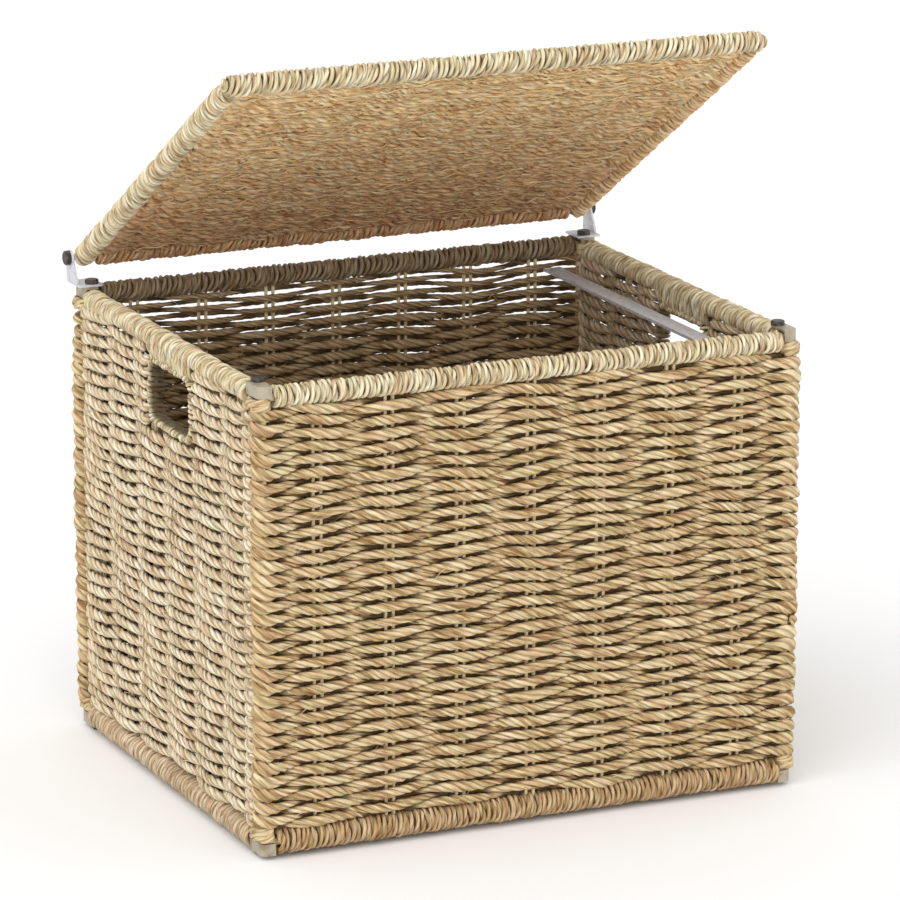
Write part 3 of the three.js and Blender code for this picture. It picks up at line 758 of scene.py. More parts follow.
@dataclass
class WovenPanel(RopeWork):
    """A woven field: rows of rope that pass stakes in front and behind by turns, and go round a
    post at each end. Places along it and up it are in its basis."""

    basis: Basis
    low_post: float
    high_post: float
    stakes: Sequence[float]
    bottom: float
    top: float
    rope: Rope
    pitch: float
    sway: float
    hole: Optional[Triple] = None
    end_reach: float = 5.0 * MM
    end_span: float = 8.0 * MM
    end_swell: float = 0.3
    near_share: float = 0.42
    wander: float = 1.1 * MM
    shake: float = 0.32 * MM
    shake_knot: float = 14.0
    depth_shake: float = 0.6
    row_shake: float = 0.8
    bend_range: tuple[float, float] = (0.85, 1.08)
    thin_range: tuple[float, float] = (0.8, 0.97)
    squeeze_share: float = 0.2
    full_share: float = 0.1
    thin_share: float = 0.0
    crease_share: float = 0.62
    # Age together with painted shade at the bottom and the top of the panel, and on its inner side.
    age_and_shade_shares: tuple[float, float] = (0.0, 0.0)
    inner_shade_and_age: float = 0.0
    bands: int = 2
    strands: list[Strand] = field(default_factory=list)

    def _rise_share(self, level: np.ndarray) -> np.ndarray:
        """How far up the panel a level lies, from 0 to 1."""
        return (level - self.bottom) / (self.top - self.bottom)

    def _wave(self, along: np.ndarray, start: float, end: float) -> np.ndarray:
        """Sways a row between the back, -1, and the front, 1, of the panel.

        Args:
            along: Places along the panel.
            start: Place of the low post.
            end: Place of the high post.

        Returns:
            How far to the front an even row lies at each place.
        """
        inside = [(p, 1 - 2 * (i % 2)) for i, p in enumerate(self.stakes) if start < p < end]
        gap = self.near_share * (self.stakes[1] - self.stakes[0])
        low, high = inside[0], inside[-1]
        first = low[1] if low[0] - start < gap else -low[1]
        last = high[1] if end - high[0] < gap else -high[1]
        places = np.array([start, *(p for p, _ in inside), end])
        signs = np.array([first, *(s for _, s in inside), last], float)
        index = np.clip(np.searchsorted(places, along) - 1, 0, len(places) - 2)
        share = np.clip((along - places[index]) / (places[index + 1] - places[index]), 0, 1)
        middle = (signs[index] + signs[index + 1]) / 2
        return middle + (signs[index] - signs[index + 1]) / 2 * np.cos(math.pi * share)

    def _warp(self, along: np.ndarray, height: float) -> np.ndarray:
        """Lets the rows wander up and down together.

        Args:
            along: Places along a row.
            height: The row's height.

        Returns:
            How far the row lies above that height at each place.
        """
        waves, calm = 5, 2.2
        source = np.random.default_rng(self.seed)
        total = np.zeros_like(along)
        for _ in range(waves):
            length, rise = source.uniform(0.07, 0.2), source.uniform(0.09, 0.25)
            phase = source.uniform(0, TURN)
            total += np.sin(TURN * (along / length + height / rise) + phase)
        return self.wander * total / calm

    def _row(self, row: int, start: float, end: float) -> tuple[np.ndarray, np.ndarray]:
        """Lays out one row between two posts.

        Args:
            row: Its number, from the bottom.
            start: Place of the low post.
            end: Place of the high post.

        Returns:
            Its points, and how near a face of the panel each lies.
        """
        count = max(8, int((end - start) / self.rope.step))
        height = self.bottom + (row + 0.5) * self.pitch
        along = np.linspace(start, end, count)
        wave = self._wave(along, start, end) * (1 - 2 * (row % 2))
        shake = drift(self.rng, count, self.shake_knot, 2) * self.shake
        depth = wave * self.sway + shake[:, 0] * self.depth_shake
        level = height + self._warp(along, height) + shake[:, 1]
        level = level + self.rng.uniform(-1, 1) * self.shake * self.row_shake
        return np.stack([along, depth, level], axis=1), np.abs(wave)

    def _bend(self, here: np.ndarray, there: np.ndarray, forward: bool) -> np.ndarray:
        """Turns the rope round a post.

        Args:
            here: End of a row.
            there: Start of the row above it.
            forward: Whether the first row runs towards the high post.

        Returns:
            Points of the bend.
        """
        count = max(5, int(math.pi * self.sway / self.rope.step))
        angle = math.pi * ((np.arange(count) + 1) / (count + 1))
        at_corner = forward == (here[0] > 0) and abs(here[0]) > self.high_post - MM
        reach = self.end_reach if at_corner else self.sway
        reach = reach * self.rng.uniform(*self.bend_range) * (1 if forward else -1)
        bend = np.empty((count, 3))
        bend[:, 0] = here[0] + reach * np.sin(angle)
        bend[:, 1] = (here[1] + there[1]) / 2 + (here[1] - there[1]) / 2 * np.cos(angle)
        bend[:, 2] = here[2] + (there[2] - here[2]) * ((np.arange(count) + 1) / (count + 1))
        return bend

    def _serpentine(self, rows: Sequence[int], goes_on: bool, start: float, end: float) -> Strand:
        """Runs one rope to and fro between two posts, a row higher after each turn.

        Args:
            rows: Numbers of its rows, from the bottom.
            goes_on: Whether it turns up towards a row above its last one.
            start: Place of the low post.
            end: Place of the high post.

        Returns:
            The rope.
        """
        points, waves = [], []
        reached = [*rows, rows[-1] + 1] if goes_on else rows
        lines = [self._row(row, start, end) for row in reached]
        for row, (line, wave), after in zip(rows, lines, [*lines[1:], None]):
            forward = row % 2 == 0
            points.append(line if forward else line[::-1])
            waves.append(wave if forward else wave[::-1])
            if after:
                bend = self._bend(points[-1][-1], after[0][-1 if forward else 0], forward)
                points.append(bend)
                waves.append(np.ones(len(bend)))
        centre, wave = np.concatenate(points), np.concatenate(waves)
        tangent = unit(np.gradient(centre, axis=0))
        side = unit(np.cross(tangent, np.array(UP)))
        slim = 1 - self.thin_share * smooth(*self.thin_range, self._rise_share(centre[:, 2]))
        at_end = smooth(self.high_post - self.end_span, self.high_post, np.abs(centre[:, 0]))
        fullness = 1 - self.squeeze_share * (1 - wave) + self.full_share * wave
        up_share = fullness * slim * (1 + self.end_swell * at_end)
        strand = laid(Route(centre, side, slim * (1.02 - 0.12 * wave), up_share), self.rope, self.rng)
        self._dress(strand, wave, at_end)
        return strand

    def _dress(self, strand: Strand, wave: np.ndarray, at_end: np.ndarray) -> None:
        """Paints shade on the rope between the layers of the panel, and colours it by age together with painted
        shade, rising up the panel and on its inner side.

        Args:
            strand: The rope, in the panel's basis.
            wave: How near a face of the panel each ring lies.
            at_end: How near an end of the panel each ring lies.
        """
        along, out, rise = np.moveaxis(strand.rings, 2, 0)
        # Painted shade where the rope lies deep between the layers, but not past the posts.
        envelope = (wave * self.sway + self.rope.radius)[:, None]
        past_post = smooth(self.high_post - MM, self.high_post + 4 * MM, np.abs(along))
        cavity_shade = (1 - smooth(0.1, 0.72, np.abs(out) / envelope)) * (1 - past_post)
        strand.shade(cavity_shade, self.crease_share)
        # Age together with painted shade: rising up the panel by its shares, and on the inner side away from the
        # ends.
        low_age_and_shade, high_age_and_shade = self.age_and_shade_shares
        inner = self.inner_shade_and_age * (1 - smooth(-2 * MM, 2 * MM, out)) * (1 - at_end[:, None])
        strand.age = np.clip(low_age_and_shade + (high_age_and_shade - low_age_and_shade) * self._rise_share(rise) + inner, 0, 1)

    def build(self) -> None:
        """Weaves the panel as one piece for each band of rows."""
        count = int((self.top - self.bottom) / self.pitch)
        self.pitch = (self.top - self.bottom) / count
        rows = list(range(count))
        spans = [(rows, self.low_post, self.high_post)]
        if self.hole:
            start, end, sill = self.hole
            whole = [r for r in rows if self.bottom + (r + 0.5) * self.pitch < sill]
            split = rows[len(whole):]
            spans = [(whole, self.low_post, self.high_post)]
            spans += [(split, self.low_post, start), (split, end, self.high_post)]
        banded: list[list[Strand]] = [[] for _ in range(self.bands)]
        for span_rows, start, end in spans:
            for band, band_strands in enumerate(banded):
                low, high = band * count / self.bands, (band + 1) * count / self.bands
                chosen = [r for r in span_rows if low <= r < high]
                if chosen:
                    goes_on = chosen[-1] + 1 in span_rows
                    strand = self._serpentine(chosen, goes_on, start, end)
                    strand.rings = self.basis.points(strand.rings)
                    band_strands.append(strand)
                    self.strands.append(strand)
        for band, band_strands in enumerate(banded):
            self.place(band_strands, f"{self.name}_rope_{band + 1}")


@dataclass
class WoundRim(RopeWork):
    """A strand wound round a straight rod."""

    basis: Basis
    half_length: float
    radius: float
    # Age together with painted shade.
    age: float = 0.0
    closed_ends: bool = False
    dip: Optional[Triple] = None
    rope: Rope = Rope(2.1 * MM, 31 * MM, ply_share=0.62, step=1.4 * MM, slack=2.5)
    pitch: float = 3.75 * MM
    lean: float = 1.3 * MM
    stray: float = 0.5 * MM
    soft: float = 3 * MM
    cavity_share: float = 0.8
    crease_share: float = 0.6
    core_shade: float = 0.85

    def _dipped(self, along: np.ndarray, angle: np.ndarray) -> np.ndarray:
        """Reaches down to the head of a hand hole.

        Args:
            along: Places along the rim.
            angle: Angle round the rim at each place.

        Returns:
            How much lower the winding lies at each place.
        """
        if not self.dip:
            return np.zeros(len(along))
        start, end, drop = self.dip
        soft = self.soft
        inside = smooth(start - soft, start + soft, along) * (1 - smooth(end - soft, end + soft, along))
        return drop * inside * np.clip(-np.sin(angle), 0, 1)

    def _core(self, radius: float) -> Strand:
        """Fills the winding with a plain core, coloured as painted shade.

        Args:
            radius: The core's radius.

        Returns:
            The core.
        """
        rope = Rope(radius, 90 * MM, step=4 * MM, ply_share=0.9)
        reach = self.half_length - self.rope.radius
        line = np.zeros((int(2 * reach / rope.step), 3))
        line[:, 0] = np.linspace(-reach, reach, len(line))
        core = laid(Route(line, np.tile(UP, (len(line), 1))), rope, self.rng)
        core.hollow = np.full_like(core.hollow, self.core_shade)
        return core

    def build(self) -> None:
        """Winds the rim and places it."""
        coil = self.radius - self.rope.radius
        turns = 2 * self.half_length / self.pitch + 0.6
        count = int(turns * TURN * coil / self.rope.step)
        share = np.linspace(0, 1, count)
        angle = TURN * turns * share
        per_turn = count / turns
        reach = coil * (1 + 0.05 * drift(self.rng, count, per_turn * 0.9)[:, 0])
        inward = np.minimum(share, 1 - share) * turns
        if self.closed_ends:
            reach = reach * (0.08 + 0.92 * np.sqrt(smooth(0.0, 2.4, inward)))
        tilt = self.lean * (0.75 + 1.2 * drift(self.rng, count, per_turn * 4)[:, 0])
        along = -self.half_length + self.pitch * (turns * share - 0.3)
        along = along + tilt * np.cos(angle + 0.6) * smooth(0, 1.5, inward)
        along = along + self.stray * drift(self.rng, count, per_turn * 0.6)[:, 0]
        limit = self.half_length - self.rope.radius * 0.9
        along = np.clip(along, -limit, limit)
        radial = np.stack([np.zeros(count), np.cos(angle), np.sin(angle)], axis=1)
        centre = radial * reach[:, None]
        centre[:, 0] = along
        lower = self._dipped(along, angle)
        centre[:, 2] -= lower
        strand = laid(Route(centre, radial, 1.05), self.rope, self.rng)
        level = strand.rings + np.array(UP) * lower[:, None, None]
        outward = np.linalg.norm(level[:, :, 1:], axis=2) / self.radius
        # Painted shade on the inner side of the winding, none at its ends.
        cavity_shade = (1 - smooth(0.64, 0.9, outward)) * smooth(0.8, 2.0, inward)[:, None]
        strand.shade(self.cavity_share * cavity_shade, self.crease_share)
        strand.age = np.full_like(strand.hollow, self.age)
        parts = [strand, self._core(coil - self.rope.radius * 0.55)]
        for part in parts:
            part.rings = self.basis.points(part.rings)
        self.place(parts)


@dataclass(frozen=True)
class HandHole:
    """Centre line of the wire loop of a hand hole: its two ends along the wall, sill and head."""

    low: float
    high: float
    sill: float
    head: float
    corner: float = 10.0 * MM

    def loop(self, count: int) -> tuple[np.ndarray, np.ndarray]:
        """Goes round the loop in even steps.

        Args:
            count: Number of points.

        Returns:
            The points and their outward directions, along the wall and up it.
        """
        centres = [
            (self.high - self.corner, self.head - self.corner),
            (self.low + self.corner, self.head - self.corner),
            (self.low + self.corner, self.sill + self.corner),
            (self.high - self.corner, self.sill + self.corner),
        ]
        steps = 16
        points, outward = [], []
        for index, centre in enumerate(centres):
            angle = (index + np.arange(steps + 1) / steps) * math.pi / 2
            direction = np.stack([np.cos(angle), np.sin(angle)], axis=1)
            points.append(np.array(centre) + self.corner * direction)
            outward.append(direction)
        points.append(points[0][:1])
        outward.append(outward[0][:1])
        line, normal = np.concatenate(points), np.concatenate(outward)
        length = run_lengths(line)
        place = np.linspace(0, length[-1], count)
        line = np.stack([np.interp(place, length, line[:, i]) for i in (0, 1)], axis=1)
        normal = np.stack([np.interp(place, length, normal[:, i]) for i in (0, 1)], axis=1)
        return line, unit(normal)


@dataclass
class HoleBinding(RopeWork):
    """A strand wound round the wire loop of a hand hole."""

    basis: Basis
    hole: HandHole
    half_width: float = 3.5 * MM
    half_depth: float = 6.3 * MM
    rope: Rope = Rope(1.9 * MM, 24 * MM, step=1.2 * MM, sides=10, ply_share=0.64, slack=2.0)
    pitch: float = 3.6 * MM
    inner_shade: float = 0.97
    crease_share: float = 0.6
    unevenness: float = 0.08

    def build(self) -> None:
        """Winds the binding and places it."""
        hole = self.hole
        wide, deep = self.half_width - self.rope.radius, self.half_depth - self.rope.radius
        girth = 2 * ((hole.high - hole.low) + (hole.head - hole.sill)) - 1.7 * hole.corner
        turns = round(girth / self.pitch)
        count = int(turns * (math.pi * (wide + deep)) / self.rope.step)
        line, normal = hole.loop(count)
        angle = TURN * turns * np.linspace(0, 1, count)
        swell = 1 + self.unevenness * drift(self.rng, count, 12)[:, 0]
        centre = np.empty((count, 3))
        centre[:, [0, 2]] = line + normal * (wide * np.cos(angle) * swell)[:, None]
        centre[:, 1] = deep * np.sin(angle) * swell
        radial = np.empty((count, 3))
        radial[:, [0, 2]] = normal * np.cos(angle)[:, None]
        radial[:, 1] = np.sin(angle)
        strand = laid(Route(centre, radial), self.rope, self.rng)
        middle = np.stack([line[:, 0], np.zeros(count), line[:, 1]], axis=1)
        offset = strand.rings - middle[:, None]
        outward = np.sum(offset * radial[:, None], axis=2)
        nearest = np.linalg.norm(centre - middle, axis=1)[:, None]
        # Painted shade on the winding's inner side, and on its side that faces the hole towards the inside of the
        # box.
        cavity_shade = 1 - smooth(-0.4, 0.5, (outward - nearest) / self.rope.radius)
        out_of_loop = offset[:, :, 0] * normal[:, 0, None] + offset[:, :, 2] * normal[:, 1, None]
        to_hole = 1 - smooth(-0.7, 0.1, out_of_loop / self.half_width)
        to_inside = 1 - smooth(0.5, 1.0, offset[:, :, 1] / self.half_depth)
        cavity_shade = np.maximum(cavity_shade, self.inner_shade * to_hole * to_inside)
        strand.shade(cavity_shade, self.crease_share)
        strand.rings = self.basis.points(strand.rings)
        self.place([strand])


@dataclass
class CornerTurns(RopeWork):
    """Rope turned round the post and the pin of a corner, in line with the rows of the walls."""

    middle: tuple[float, float]
    low: float
    high: float
    rope: Rope
    half_width: float = 3.2 * MM
    half_depth: float = 7.8 * MM
    pitch: float = 3.5 * MM
    squareness: float = 0.55
    shake: float = 0.3 * MM
    crease_share: float = 0.62

    def build(self) -> None:
        """Turns the rope and places it."""
        turns = round((self.high - self.low) / self.pitch)
        count = int(turns * (4 * (self.half_width + self.half_depth)) / self.rope.step)
        share = np.linspace(0, 1, count)
        angle = TURN * turns * share
        reach = np.stack([np.cos(angle), np.sin(angle)], axis=1)
        reach = np.sign(reach) * np.abs(reach) ** self.squareness
        centre = np.empty((count, 3))
        centre[:, :2] = np.array(self.middle) + reach * np.array([self.half_width, self.half_depth])
        edge = 0.8 * self.rope.radius
        centre[:, 2] = self.low + edge + (self.high - self.low - 2 * edge) * share
        centre[:, 2] += self.shake * drift(self.rng, count, 5)[:, 0]
        side = np.concatenate([reach, np.zeros((count, 1))], axis=1)
        strand = laid(Route(centre, side), self.rope, self.rng)
        # Painted shade on the inner side of the turns.
        outward = np.sum((strand.rings - centre[:, None]) * unit(side)[:, None], axis=2)
        strand.shade(1 - smooth(-0.3, 0.5, outward / self.rope.radius), self.crease_share)
        self.place([strand], stands_for_node=False)


@dataclass
class LooseFibres(RopeWork):
    """Split blades that stand off the rope of a panel."""

    panel: WovenPanel
    count: int
    length: tuple[float, float] = (4 * MM, 14 * MM)
    width: float = 0.42 * MM
    lift: float = 1.2 * MM
    spread: float = 0.5
    curl: float = 0.0
    proud: float = 1.2 * MM
    sunk: float = 0.3 * MM
    flatness: float = 0.45
    taper: float = 0.75
    age_and_shade_share: float = 0.4
    shade_limit: float = 0.45
    near: int = 3
    steps: int = 7
    sides: int = 3

    def _fits(self, path: np.ndarray) -> bool:
        """Whether a fibre keeps to the panel's field and close to its faces."""
        panel = self.panel
        along, out, rise = panel.basis.local(path).T
        face = panel.sway + panel.rope.radius + self.proud
        level = panel.bottom < rise.min() and rise.max() < panel.top
        return level and np.abs(out).max() < face and np.abs(along).max() < panel.high_post + panel.sway

    def _path(self, source: Strand, ring: int, side: int) -> tuple[np.ndarray, np.ndarray, float]:
        """Lets one fibre leave its rope.

        Args:
            source: The rope.
            ring: Ring of the rope where it starts.
            side: Point of that ring.

        Returns:
            Its points, the direction out of the rope, and its length.
        """
        share = np.linspace(0, 1, self.steps)
        foot = source.rings[ring, side]
        middle = source.rings[ring].mean(axis=0)
        ahead = source.rings[ring + self.near].mean(axis=0) - source.rings[ring - self.near].mean(axis=0)
        tangent = ahead / np.linalg.norm(ahead) * self.rng.choice([-1.0, 1.0])
        outward = (foot - middle) / np.linalg.norm(foot - middle)
        across = np.cross(tangent, outward)
        length = self.rng.uniform(*self.length)
        sweep = np.clip(self.rng.normal(0, 1), -1.7, 1.7) * self.spread * length
        lift = min(abs(self.rng.normal(0, 1)), 2.2) * self.lift
        curl = self.rng.uniform(-1, 1) * self.curl * length
        path = (
            foot - self.sunk * outward
            + tangent * (length * share)[:, None]
            + across * (sweep * share**2 + curl * np.sin(TURN * share))[:, None]
            + outward * (lift * share**1.5 * (1.6 - share))[:, None]
        )
        return path, outward, length

    def _fibre(self, path: np.ndarray, outward: np.ndarray, length: float, age: float) -> Strand:
        """Makes a flat tapered strand of a path.

        Args:
            path: Its points.
            outward: Direction out of the rope that it leaves.
            length: Its length.
            age: How aged it looks, with painted shade.

        Returns:
            The fibre.
        """
        angles = np.arange(self.sides) * TURN / self.sides
        share = np.linspace(0, 1, self.steps)
        heading = unit(np.gradient(path, axis=0))
        first = unit(np.cross(heading, outward))
        second = np.cross(first, heading)
        radius = self.width * self.rng.uniform(0.6, 1.3) * (1 - self.taper * share)
        rings = (
            path[:, None]
            + (radius[:, None] * np.cos(angles))[:, :, None] * first[:, None]
            + (self.flatness * radius[:, None] * np.sin(angles))[:, :, None] * second[:, None]
        )
        grain = np.empty((self.steps, self.sides, 3))
        grain[:, :, 0] = self.rng.uniform(0, GRAIN_RANGE) + (length * share)[:, None]
        grain[:, :, 1] = self.width * np.cos(angles)
        grain[:, :, 2] = self.width * np.sin(angles)
        blank = np.zeros((self.steps, self.sides))
        return Strand(rings, grain, blank, blank + age)

    def build(self) -> None:
        """Grows the fibres from the panel's rope and places them as one piece."""
        sources = self.panel.strands
        sizes = np.array([len(strand.rings) for strand in sources])
        fibres: list[Strand] = []
        while len(fibres) < self.count:
            source = sources[self.rng.choice(len(sizes), p=sizes / sizes.sum())]
            ring = int(self.rng.integers(self.near + 1, len(source.rings) - self.near - 1))
            side = int(self.rng.integers(source.rings.shape[1]))
            if source.hollow[ring, side] > self.shade_limit:
                continue
            path, outward, length = self._path(source, ring, side)
            if self._fits(path):
                # Fibres take part of their rope's age and painted shade.
                age = self.age_and_shade_share * source.age[ring, side]
                fibres.append(self._fibre(path, outward, length, age))
        self.place(fibres, stands_for_node=False)


@dataclass
class Wall:
    """A woven wall with its rims and hand hole; its pieces take seeds counted from its own."""

    side: Side
    finishes: Finishes
    seed: int
    rope: Rope
    side_shift: float = 3.0 * MM
    front_post: float = 185.0 * MM
    side_post: float = 141.9 * MM
    front_pitch: float = 4.36 * MM
    side_pitch: float = 4.12 * MM
    sway: float = 3.65 * MM
    below: float = 0.4 * MM
    above: float = 1.2 * MM
    front_end_reach: float = 6.3 * MM
    overlap: float = 2.0 * MM
    binding_reach: float = 3.5 * MM
    fibres: int = 1000

    def __post_init__(self) -> None:
        """Finds the wall's finish and its frame, which is its middle plane with its outward side."""
        name, sign = self.side.value, self.side.sign
        looks = self.finishes
        self.finish = {Side.FRONT: looks.wall, Side.BACK: looks.back}.get(self.side, looks.side)
        low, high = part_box(f"{name}_weave")
        middle = 0.5 * (low + high)
        if self.side.crosswise:
            self.basis = Basis((0.0, middle[1], 0.0), (-sign, 0.0, 0.0), (0.0, sign, 0.0), UP)
        else:
            self.basis = Basis((middle[0], 0.0, 0.0), (0.0, sign, 0.0), (sign, 0.0, 0.0), UP)

    def _hole(self) -> HandHole:
        """Works out the loop of the hand hole.

        Returns:
            The loop.
        """
        low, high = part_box(f"{self.side.value}_handle_binding")
        reach = self.binding_reach
        ends = [low[1] + reach, high[1] - reach]
        if self.side is Side.LEFT:
            ends = [-ends[1], -ends[0]]
        return HandHole(*ends, low[2] + reach, high[2] - reach)

    def _panel(self) -> WovenPanel:
        """Sets out the weave.

        Returns:
            The panel.
        """
        name, crosswise = self.side.value, self.side.crosswise
        low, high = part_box("left_weave")
        post = self.front_post if crosswise else self.side_post
        stakes = STAKES
        if not crosswise:
            stakes = [self.side.sign * (self.side_shift + (i - 2.5) * STAKE_PITCH) for i in range(6)]
        panel = WovenPanel(
            name, f"{name}_weave", self.finish, self.seed, self.basis, -post, post, sorted(stakes),
            low[2] - self.below, high[2] + self.above, self.rope,
            self.front_pitch if crosswise else self.side_pitch, self.sway, bands=3,
        )
        # Inner sides take painted shade, the back wall's more, with some age.
        panel.inner_shade_and_age = 0.64 if self.side is Side.BACK else 0.32
        panel.thin_share = 0.4 if self.side is Side.BACK else 0.0
        if crosswise:
            panel.end_reach = self.front_end_reach
        else:
            hole = self._hole()
            margin = self.binding_reach + self.sway + self.rope.radius - self.overlap
            panel.hole = (hole.low - margin, hole.high + margin, hole.sill - self.binding_reach - MM)
        return panel

    def _rim(self, level: Level) -> WoundRim:
        """Sets out one of the two rims.

        Args:
            level: Which of them.

        Returns:
            The rim.
        """
        node = f"{self.side.value}_{level.value}_rim"
        is_top = level is Level.TOP
        low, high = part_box(node)
        middle, radius = (low[2] + high[2]) / 2, (high[2] - low[2]) / 2
        axis = 0 if self.side.crosswise else 1
        # Every rim gets 0.42 of age together with painted shade; the bottom rims keep it as painted shade under
        # the wall.
        rim = WoundRim(
            f"{node}_strand", node, self.finishes.wrap if is_top else self.finish,
            self.seed + (10 if is_top else 13), self.basis.moved(rise=middle),
            (high[axis] - low[axis]) / 2, radius, 0.42,
        )
        if is_top:
            # The back top rim's value is age and painted shade, the right top rim's a little painted shade.
            rim.age = {Side.BACK: 0.9, Side.RIGHT: 0.06}.get(self.side, 0.0)
            if not self.side.crosswise:
                hole = self._hole()
                rim.dip = (hole.low, hole.high, middle - radius - (hole.head - self.binding_reach))
        return rim

    def build(self) -> None:
        """Weaves the wall, winds its rims and binds its hand hole."""
        name = self.side.value
        panel = self._panel()
        panel.build()
        LooseFibres(f"{name}_fibres", panel.node, self.finish, self.seed + 1, panel, self.fibres).build()
        self._rim(Level.BOTTOM).build()
        self._rim(Level.TOP).build()
        if not self.side.crosswise:
            HoleBinding(
                f"{name}_handle_strand", f"{name}_handle_binding", self.finishes.wrap, self.seed + 5,
                self.basis, self._hole(),
            ).build()


@dataclass
class Box:
    """The box: four walls, the turns at their corners, and the base."""

    finishes: Finishes
    rope: Rope = Rope(
        3.25 * MM, 34 * MM, sides=16, step=1.8 * MM, ply_share=0.74, rough_share=0.13, slack=1.5, blades=4
    )
    fine_rope: Rope = Rope(
        2.9 * MM, 27 * MM, step=1.6 * MM, ply_share=0.7, rough_share=0.2, slack=3.0, blades=3
    )
    base_pitch: float = 3.9 * MM
    base_sway: float = 2.6 * MM
    base_inset: float = 3.0 * MM
    corner_middle: tuple[float, float] = (186.1 * MM, 152.3 * MM)
    corner_overlap: float = 2.0 * MM

    def _build_corner(self, end: Wall, side: Wall) -> None:
        """Turns rope round a corner between the walls' rows and the clips.

        Args:
            end: The front or back wall.
            side: The left or right wall.
        """
        field_low, field_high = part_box("left_weave")
        corner = f"{end.side.value}_{side.side.value}"
        x_sign, y_sign = side.side.sign, end.side.sign
        middle = (x_sign * self.corner_middle[0], y_sign * self.corner_middle[1])
        spans = {
            Level.BOTTOM: (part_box(f"{corner}_bottom_clip")[1][2], field_low[2] + self.corner_overlap),
            Level.TOP: (field_high[2] - self.corner_overlap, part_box(f"{corner}_top_clip")[0][2]),
        }
        for seed, (level, span) in enumerate(spans.items(), 401 + 10 * x_sign + 40 * y_sign):
            name, node = f"{corner}_{level.value}_turns", f"{end.side.value}_weave"
            CornerTurns(name, node, end.finish, seed, middle, *span, self.rope).build()

    def _build_base(self) -> None:
        """Weaves the base panel."""
        low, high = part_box("base_weave")
        basis = Basis((0.0, 0.0, (low[2] + high[2]) / 2), (1.0, 0.0, 0.0), UP, (0.0, 1.0, 0.0))
        WovenPanel(
            "base", "base_weave", self.finishes.field, 71, basis, low[0] + self.base_inset,
            high[0] - self.base_inset, STAKES, low[1], high[1],
            self.fine_rope, self.base_pitch, self.base_sway, age_and_shade_shares=(0.25, 0.25),
        ).build()

    def build(self) -> None:
        """Builds the walls, the corners and the base."""
        walls = [Wall(side, self.finishes, 11 + 100 * index, self.rope) for index, side in enumerate(Side)]
        for wall in walls:
            wall.build()
        for end in walls[:2]:
            for side in walls[2:]:
                self._build_corner(end, side)
        self._build_base()


@dataclass
class Lid:
    """The lid: a finer woven field with a wound rim on all four edges, on the hinge rod.

    Its rims' places are distances from the hinge rod, towards the rear or to one side.
    """

    finishes: Finishes
    rope: Rope
    open_degrees: float = 31.5
    rim_radius: float = 7.5 * MM
    side_rim: float = 183.2 * MM
    rear_rim: float = -2.15 * MM
    front_rim: float = -312.5 * MM
    half_field: float = 175.4 * MM
    post_inset: float = 3.0 * MM
    pitch: float = 3.8 * MM
    sway: float = 2.1 * MM

    def __post_init__(self) -> None:
        """Finds the lid's frame: along the hinge, out of its top face, and from front to rear."""
        angle = math.radians(self.open_degrees)
        out = (0.0, math.sin(angle), math.cos(angle))
        rise = (0.0, math.cos(angle), -math.sin(angle))
        self.basis = Basis(tuple(frame["joints"][0]["pos_m"]), (1.0, 0.0, 0.0), out, rise)

    def _build_field(self) -> None:
        """Weaves the lid's field, with long loose fibres on it."""
        post = self.half_field - self.post_inset
        finish = self.finishes.field
        # Towards the rear the field grows darker and redder: partly age, partly painted shade and a painted
        # reddish reflection.
        panel = WovenPanel(
            "lid", "lid_weave", finish, 53, self.basis, -post, post, STAKES,
            self.front_rim + self.rim_radius, self.rear_rim - self.rim_radius, self.rope, self.pitch,
            self.sway, wander=1.5 * MM, shake=0.65 * MM, age_and_shade_shares=(0.0, 0.75), bands=3,
            squeeze_share=0.06,
        )
        panel.build()
        LooseFibres(
            "lid_fibres", panel.node, finish, 54, panel, 3000, length=(9 * MM, 26 * MM),
            width=1.05 * MM, lift=0.5 * MM, spread=0.22, curl=0.09,
        ).build()

    def _build_rims(self) -> None:
        """Winds the front rim over the whole width, and the other three behind it."""
        looks, basis, radius = self.finishes, self.basis, self.rim_radius
        low, high = self.front_rim + radius, self.rear_rim + radius
        middle, half_side = (low + high) / 2, (high - low) / 2
        front, rear = basis.moved(rise=self.front_rim), basis.moved(rise=self.rear_rim)
        left = basis.moved(along=-self.side_rim, rise=middle).upright()
        right = basis.moved(along=self.side_rim, rise=middle).upright()
        # The rear rim's value is painted shade with some age, the right rim's painted shade.
        for word, place, half_length, finish, seed, age in (
            ("front", front, self.side_rim + radius, looks.wrap, 81, 0.0),
            ("rear", rear, self.half_field, looks.field, 82, 0.7),
            ("left", left, half_side, looks.wrap, 91, 0.0),
            ("right", right, half_side, looks.field, 92, 0.3),
        ):
            node = f"lid_{word}_rim"
            rim = WoundRim(f"{node}_strand", node, finish, seed, place, half_length, radius, age)
            rim.closed_ends = word != "rear"
            rim.build()

    def build(self) -> None:
        """Builds the lid's field and its rims."""
        self._build_field()
        self._build_rims()


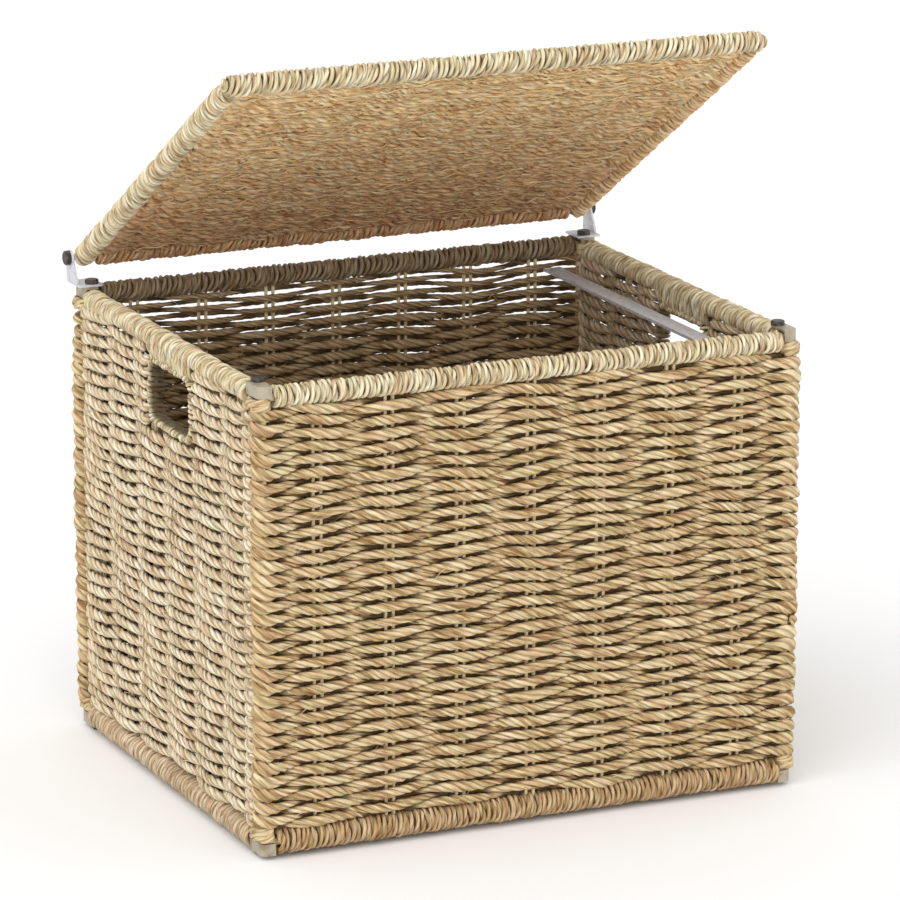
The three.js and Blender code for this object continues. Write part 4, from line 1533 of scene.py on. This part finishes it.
@dataclass
class Fittings:
    """What joins the woven parts: wires, clips, pins, rails and hinges. The sizes are roundings."""

    finishes: Finishes
    sheet_edge: float = 0.5 * MM
    cap_edge: float = 0.6 * MM
    clip_edge: float = 0.7 * MM
    head_edge: float = 0.8 * MM

    def build(self) -> None:
        """Gives the wires their finish, and stands rounded copies in for the other solids."""
        looks = self.finishes
        frames = [f"{part}_frame" for part in ("base", "lid", "front", "back", "left", "right")]
        for node in ["hinge_rod", *frames]:
            mesh = frame["nodes"][node].data
            mesh.materials.clear()
            mesh.materials.append(looks.wire)
            log.info("%s: wire finish", node)
        for corner in ("front_left", "front_right", "back_left", "back_right"):
            rounded(f"{corner}_top_clip", looks.clip, self.clip_edge)
            rounded(f"{corner}_bottom_clip", looks.clip, self.clip_edge)
            rounded(f"{corner}_pin", looks.pin, self.head_edge)
            rounded(f"{corner}_pin_cap", looks.cap, self.cap_edge)
        for side in ("left", "right"):
            rounded(f"{side}_file_rail", looks.sheet, self.sheet_edge)
            rounded(f"{side}_hinge_ear", looks.sheet, self.sheet_edge)
            rounded(f"{side}_hinge_cap", looks.cap, self.head_edge)


def aimed(name: str, data: bpy.types.ID, azimuth: float, elevation: float) -> bpy.types.Object:
    """Adds a camera or a lamp that looks towards the box.

    Args:
        name: Its name.
        data: What it is.
        azimuth: Angle in degrees round the box that it looks from, 0 being the front.
        elevation: Angle in degrees above the floor that it looks from.

    Returns:
        The camera or lamp.
    """
    az, el = math.radians(azimuth), math.radians(elevation)
    source = Vector((math.sin(az) * math.cos(el), -math.cos(az) * math.cos(el), math.sin(el)))
    piece = bpy.data.objects.new(name, data)
    piece.rotation_mode = "QUATERNION"
    piece.rotation_quaternion = source.to_track_quat("Z", "Y")
    bpy.context.scene.collection.objects.link(piece)
    return piece


@dataclass(frozen=True)
class Sun:
    """A soft sun: its strength, where it shines from, and how wide it is, in degrees."""

    name: str
    strength: float
    azimuth: float
    elevation: float
    spread: float

    def build(self) -> None:
        """Adds the lamp."""
        data = bpy.data.lights.new(self.name, "SUN")
        data.energy = self.strength
        data.angle = math.radians(self.spread)
        aimed(self.name, data, self.azimuth, self.elevation)


@dataclass
class Studio:
    """Camera, pale floor and soft light."""

    azimuth: float = -24.47
    elevation: float = 14.69
    lens: float = 222.7
    place: Triple = (-1.4710, -3.2647, 1.1503)
    dome: float = 0.86
    floor_reach: float = 12.0
    floor_tone: Triple = (0.88, 0.88, 0.88)
    floor_seen: Triple = (0.95, 0.95, 0.95)
    suns: Sequence[Sun] = (Sun("key", 1.05, -55.0, 48.0, 65.0), Sun("fill", 0.9, -12.0, 4.0, 50.0))

    def _camera(self) -> None:
        """Sets the camera at the box's viewing angle."""
        data = bpy.data.cameras.new("camera")
        data.lens = self.lens
        data.sensor_width = 36.0
        data.clip_end = 100.0
        camera = aimed("camera", data, self.azimuth, self.elevation)
        camera.location = self.place
        bpy.context.scene.camera = camera

    def _world(self) -> None:
        """Lights the scene evenly, and shows white to the camera and in reflections."""
        world = bpy.data.worlds.new("studio")
        bpy.context.scene.world = world
        shader = Shader(world)
        seen: Any = 0.0
        for ray in ("Is Camera Ray", "Is Glossy Ray", "Is Transmission Ray"):
            path = shader.add("ShaderNodeLightPath", output=ray)
            seen = shader.add("ShaderNodeMath", {"operation": "MAXIMUM"}, {0: seen, 1: path})
        strength = shader.add("ShaderNodeMapRange", None, {0: seen, "To Min": self.dome, "To Max": 1.0})
        values = {"Color": (1.0, 1.0, 1.0), "Strength": strength}
        background = shader.add("ShaderNodeBackground", None, values)
        shader.add("ShaderNodeOutputWorld", None, {"Surface": background})

    def _floor(self) -> None:
        """Adds the pale floor."""
        corners = ((-1, -1, 0), (1, -1, 0), (1, 1, 0), (-1, 1, 0))
        mesh = filled_mesh("floor", self.floor_reach * np.array(corners), np.arange(4), np.array([4]))
        shader = Shader(bpy.data.materials.new("pale_floor"))
        seen = shader.add("ShaderNodeLightPath", output="Is Camera Ray")
        colour = seen.mix(self.floor_tone, self.floor_seen)
        values = {"Base Color": colour, "Roughness": 0.9, "Specular IOR Level": 0.0}
        mesh.materials.append(shader.surface(values))
        floor = bpy.data.objects.new("floor", mesh)
        bpy.context.scene.collection.objects.link(floor)

    def build(self) -> None:
        """Sets up everything round the object."""
        bpy.context.scene.view_settings.view_transform = "Standard"
        self._camera()
        self._world()
        self._floor()
        for sun in self.suns:
            sun.build()


def main() -> None:
    """Builds the studio and the box around the frame."""
    Studio().build()
    finishes = Finishes()
    box = Box(finishes)
    box.build()
    Lid(finishes, box.fine_rope).build()
    Fittings(finishes).build()


if __name__ == "__main__":
    main()
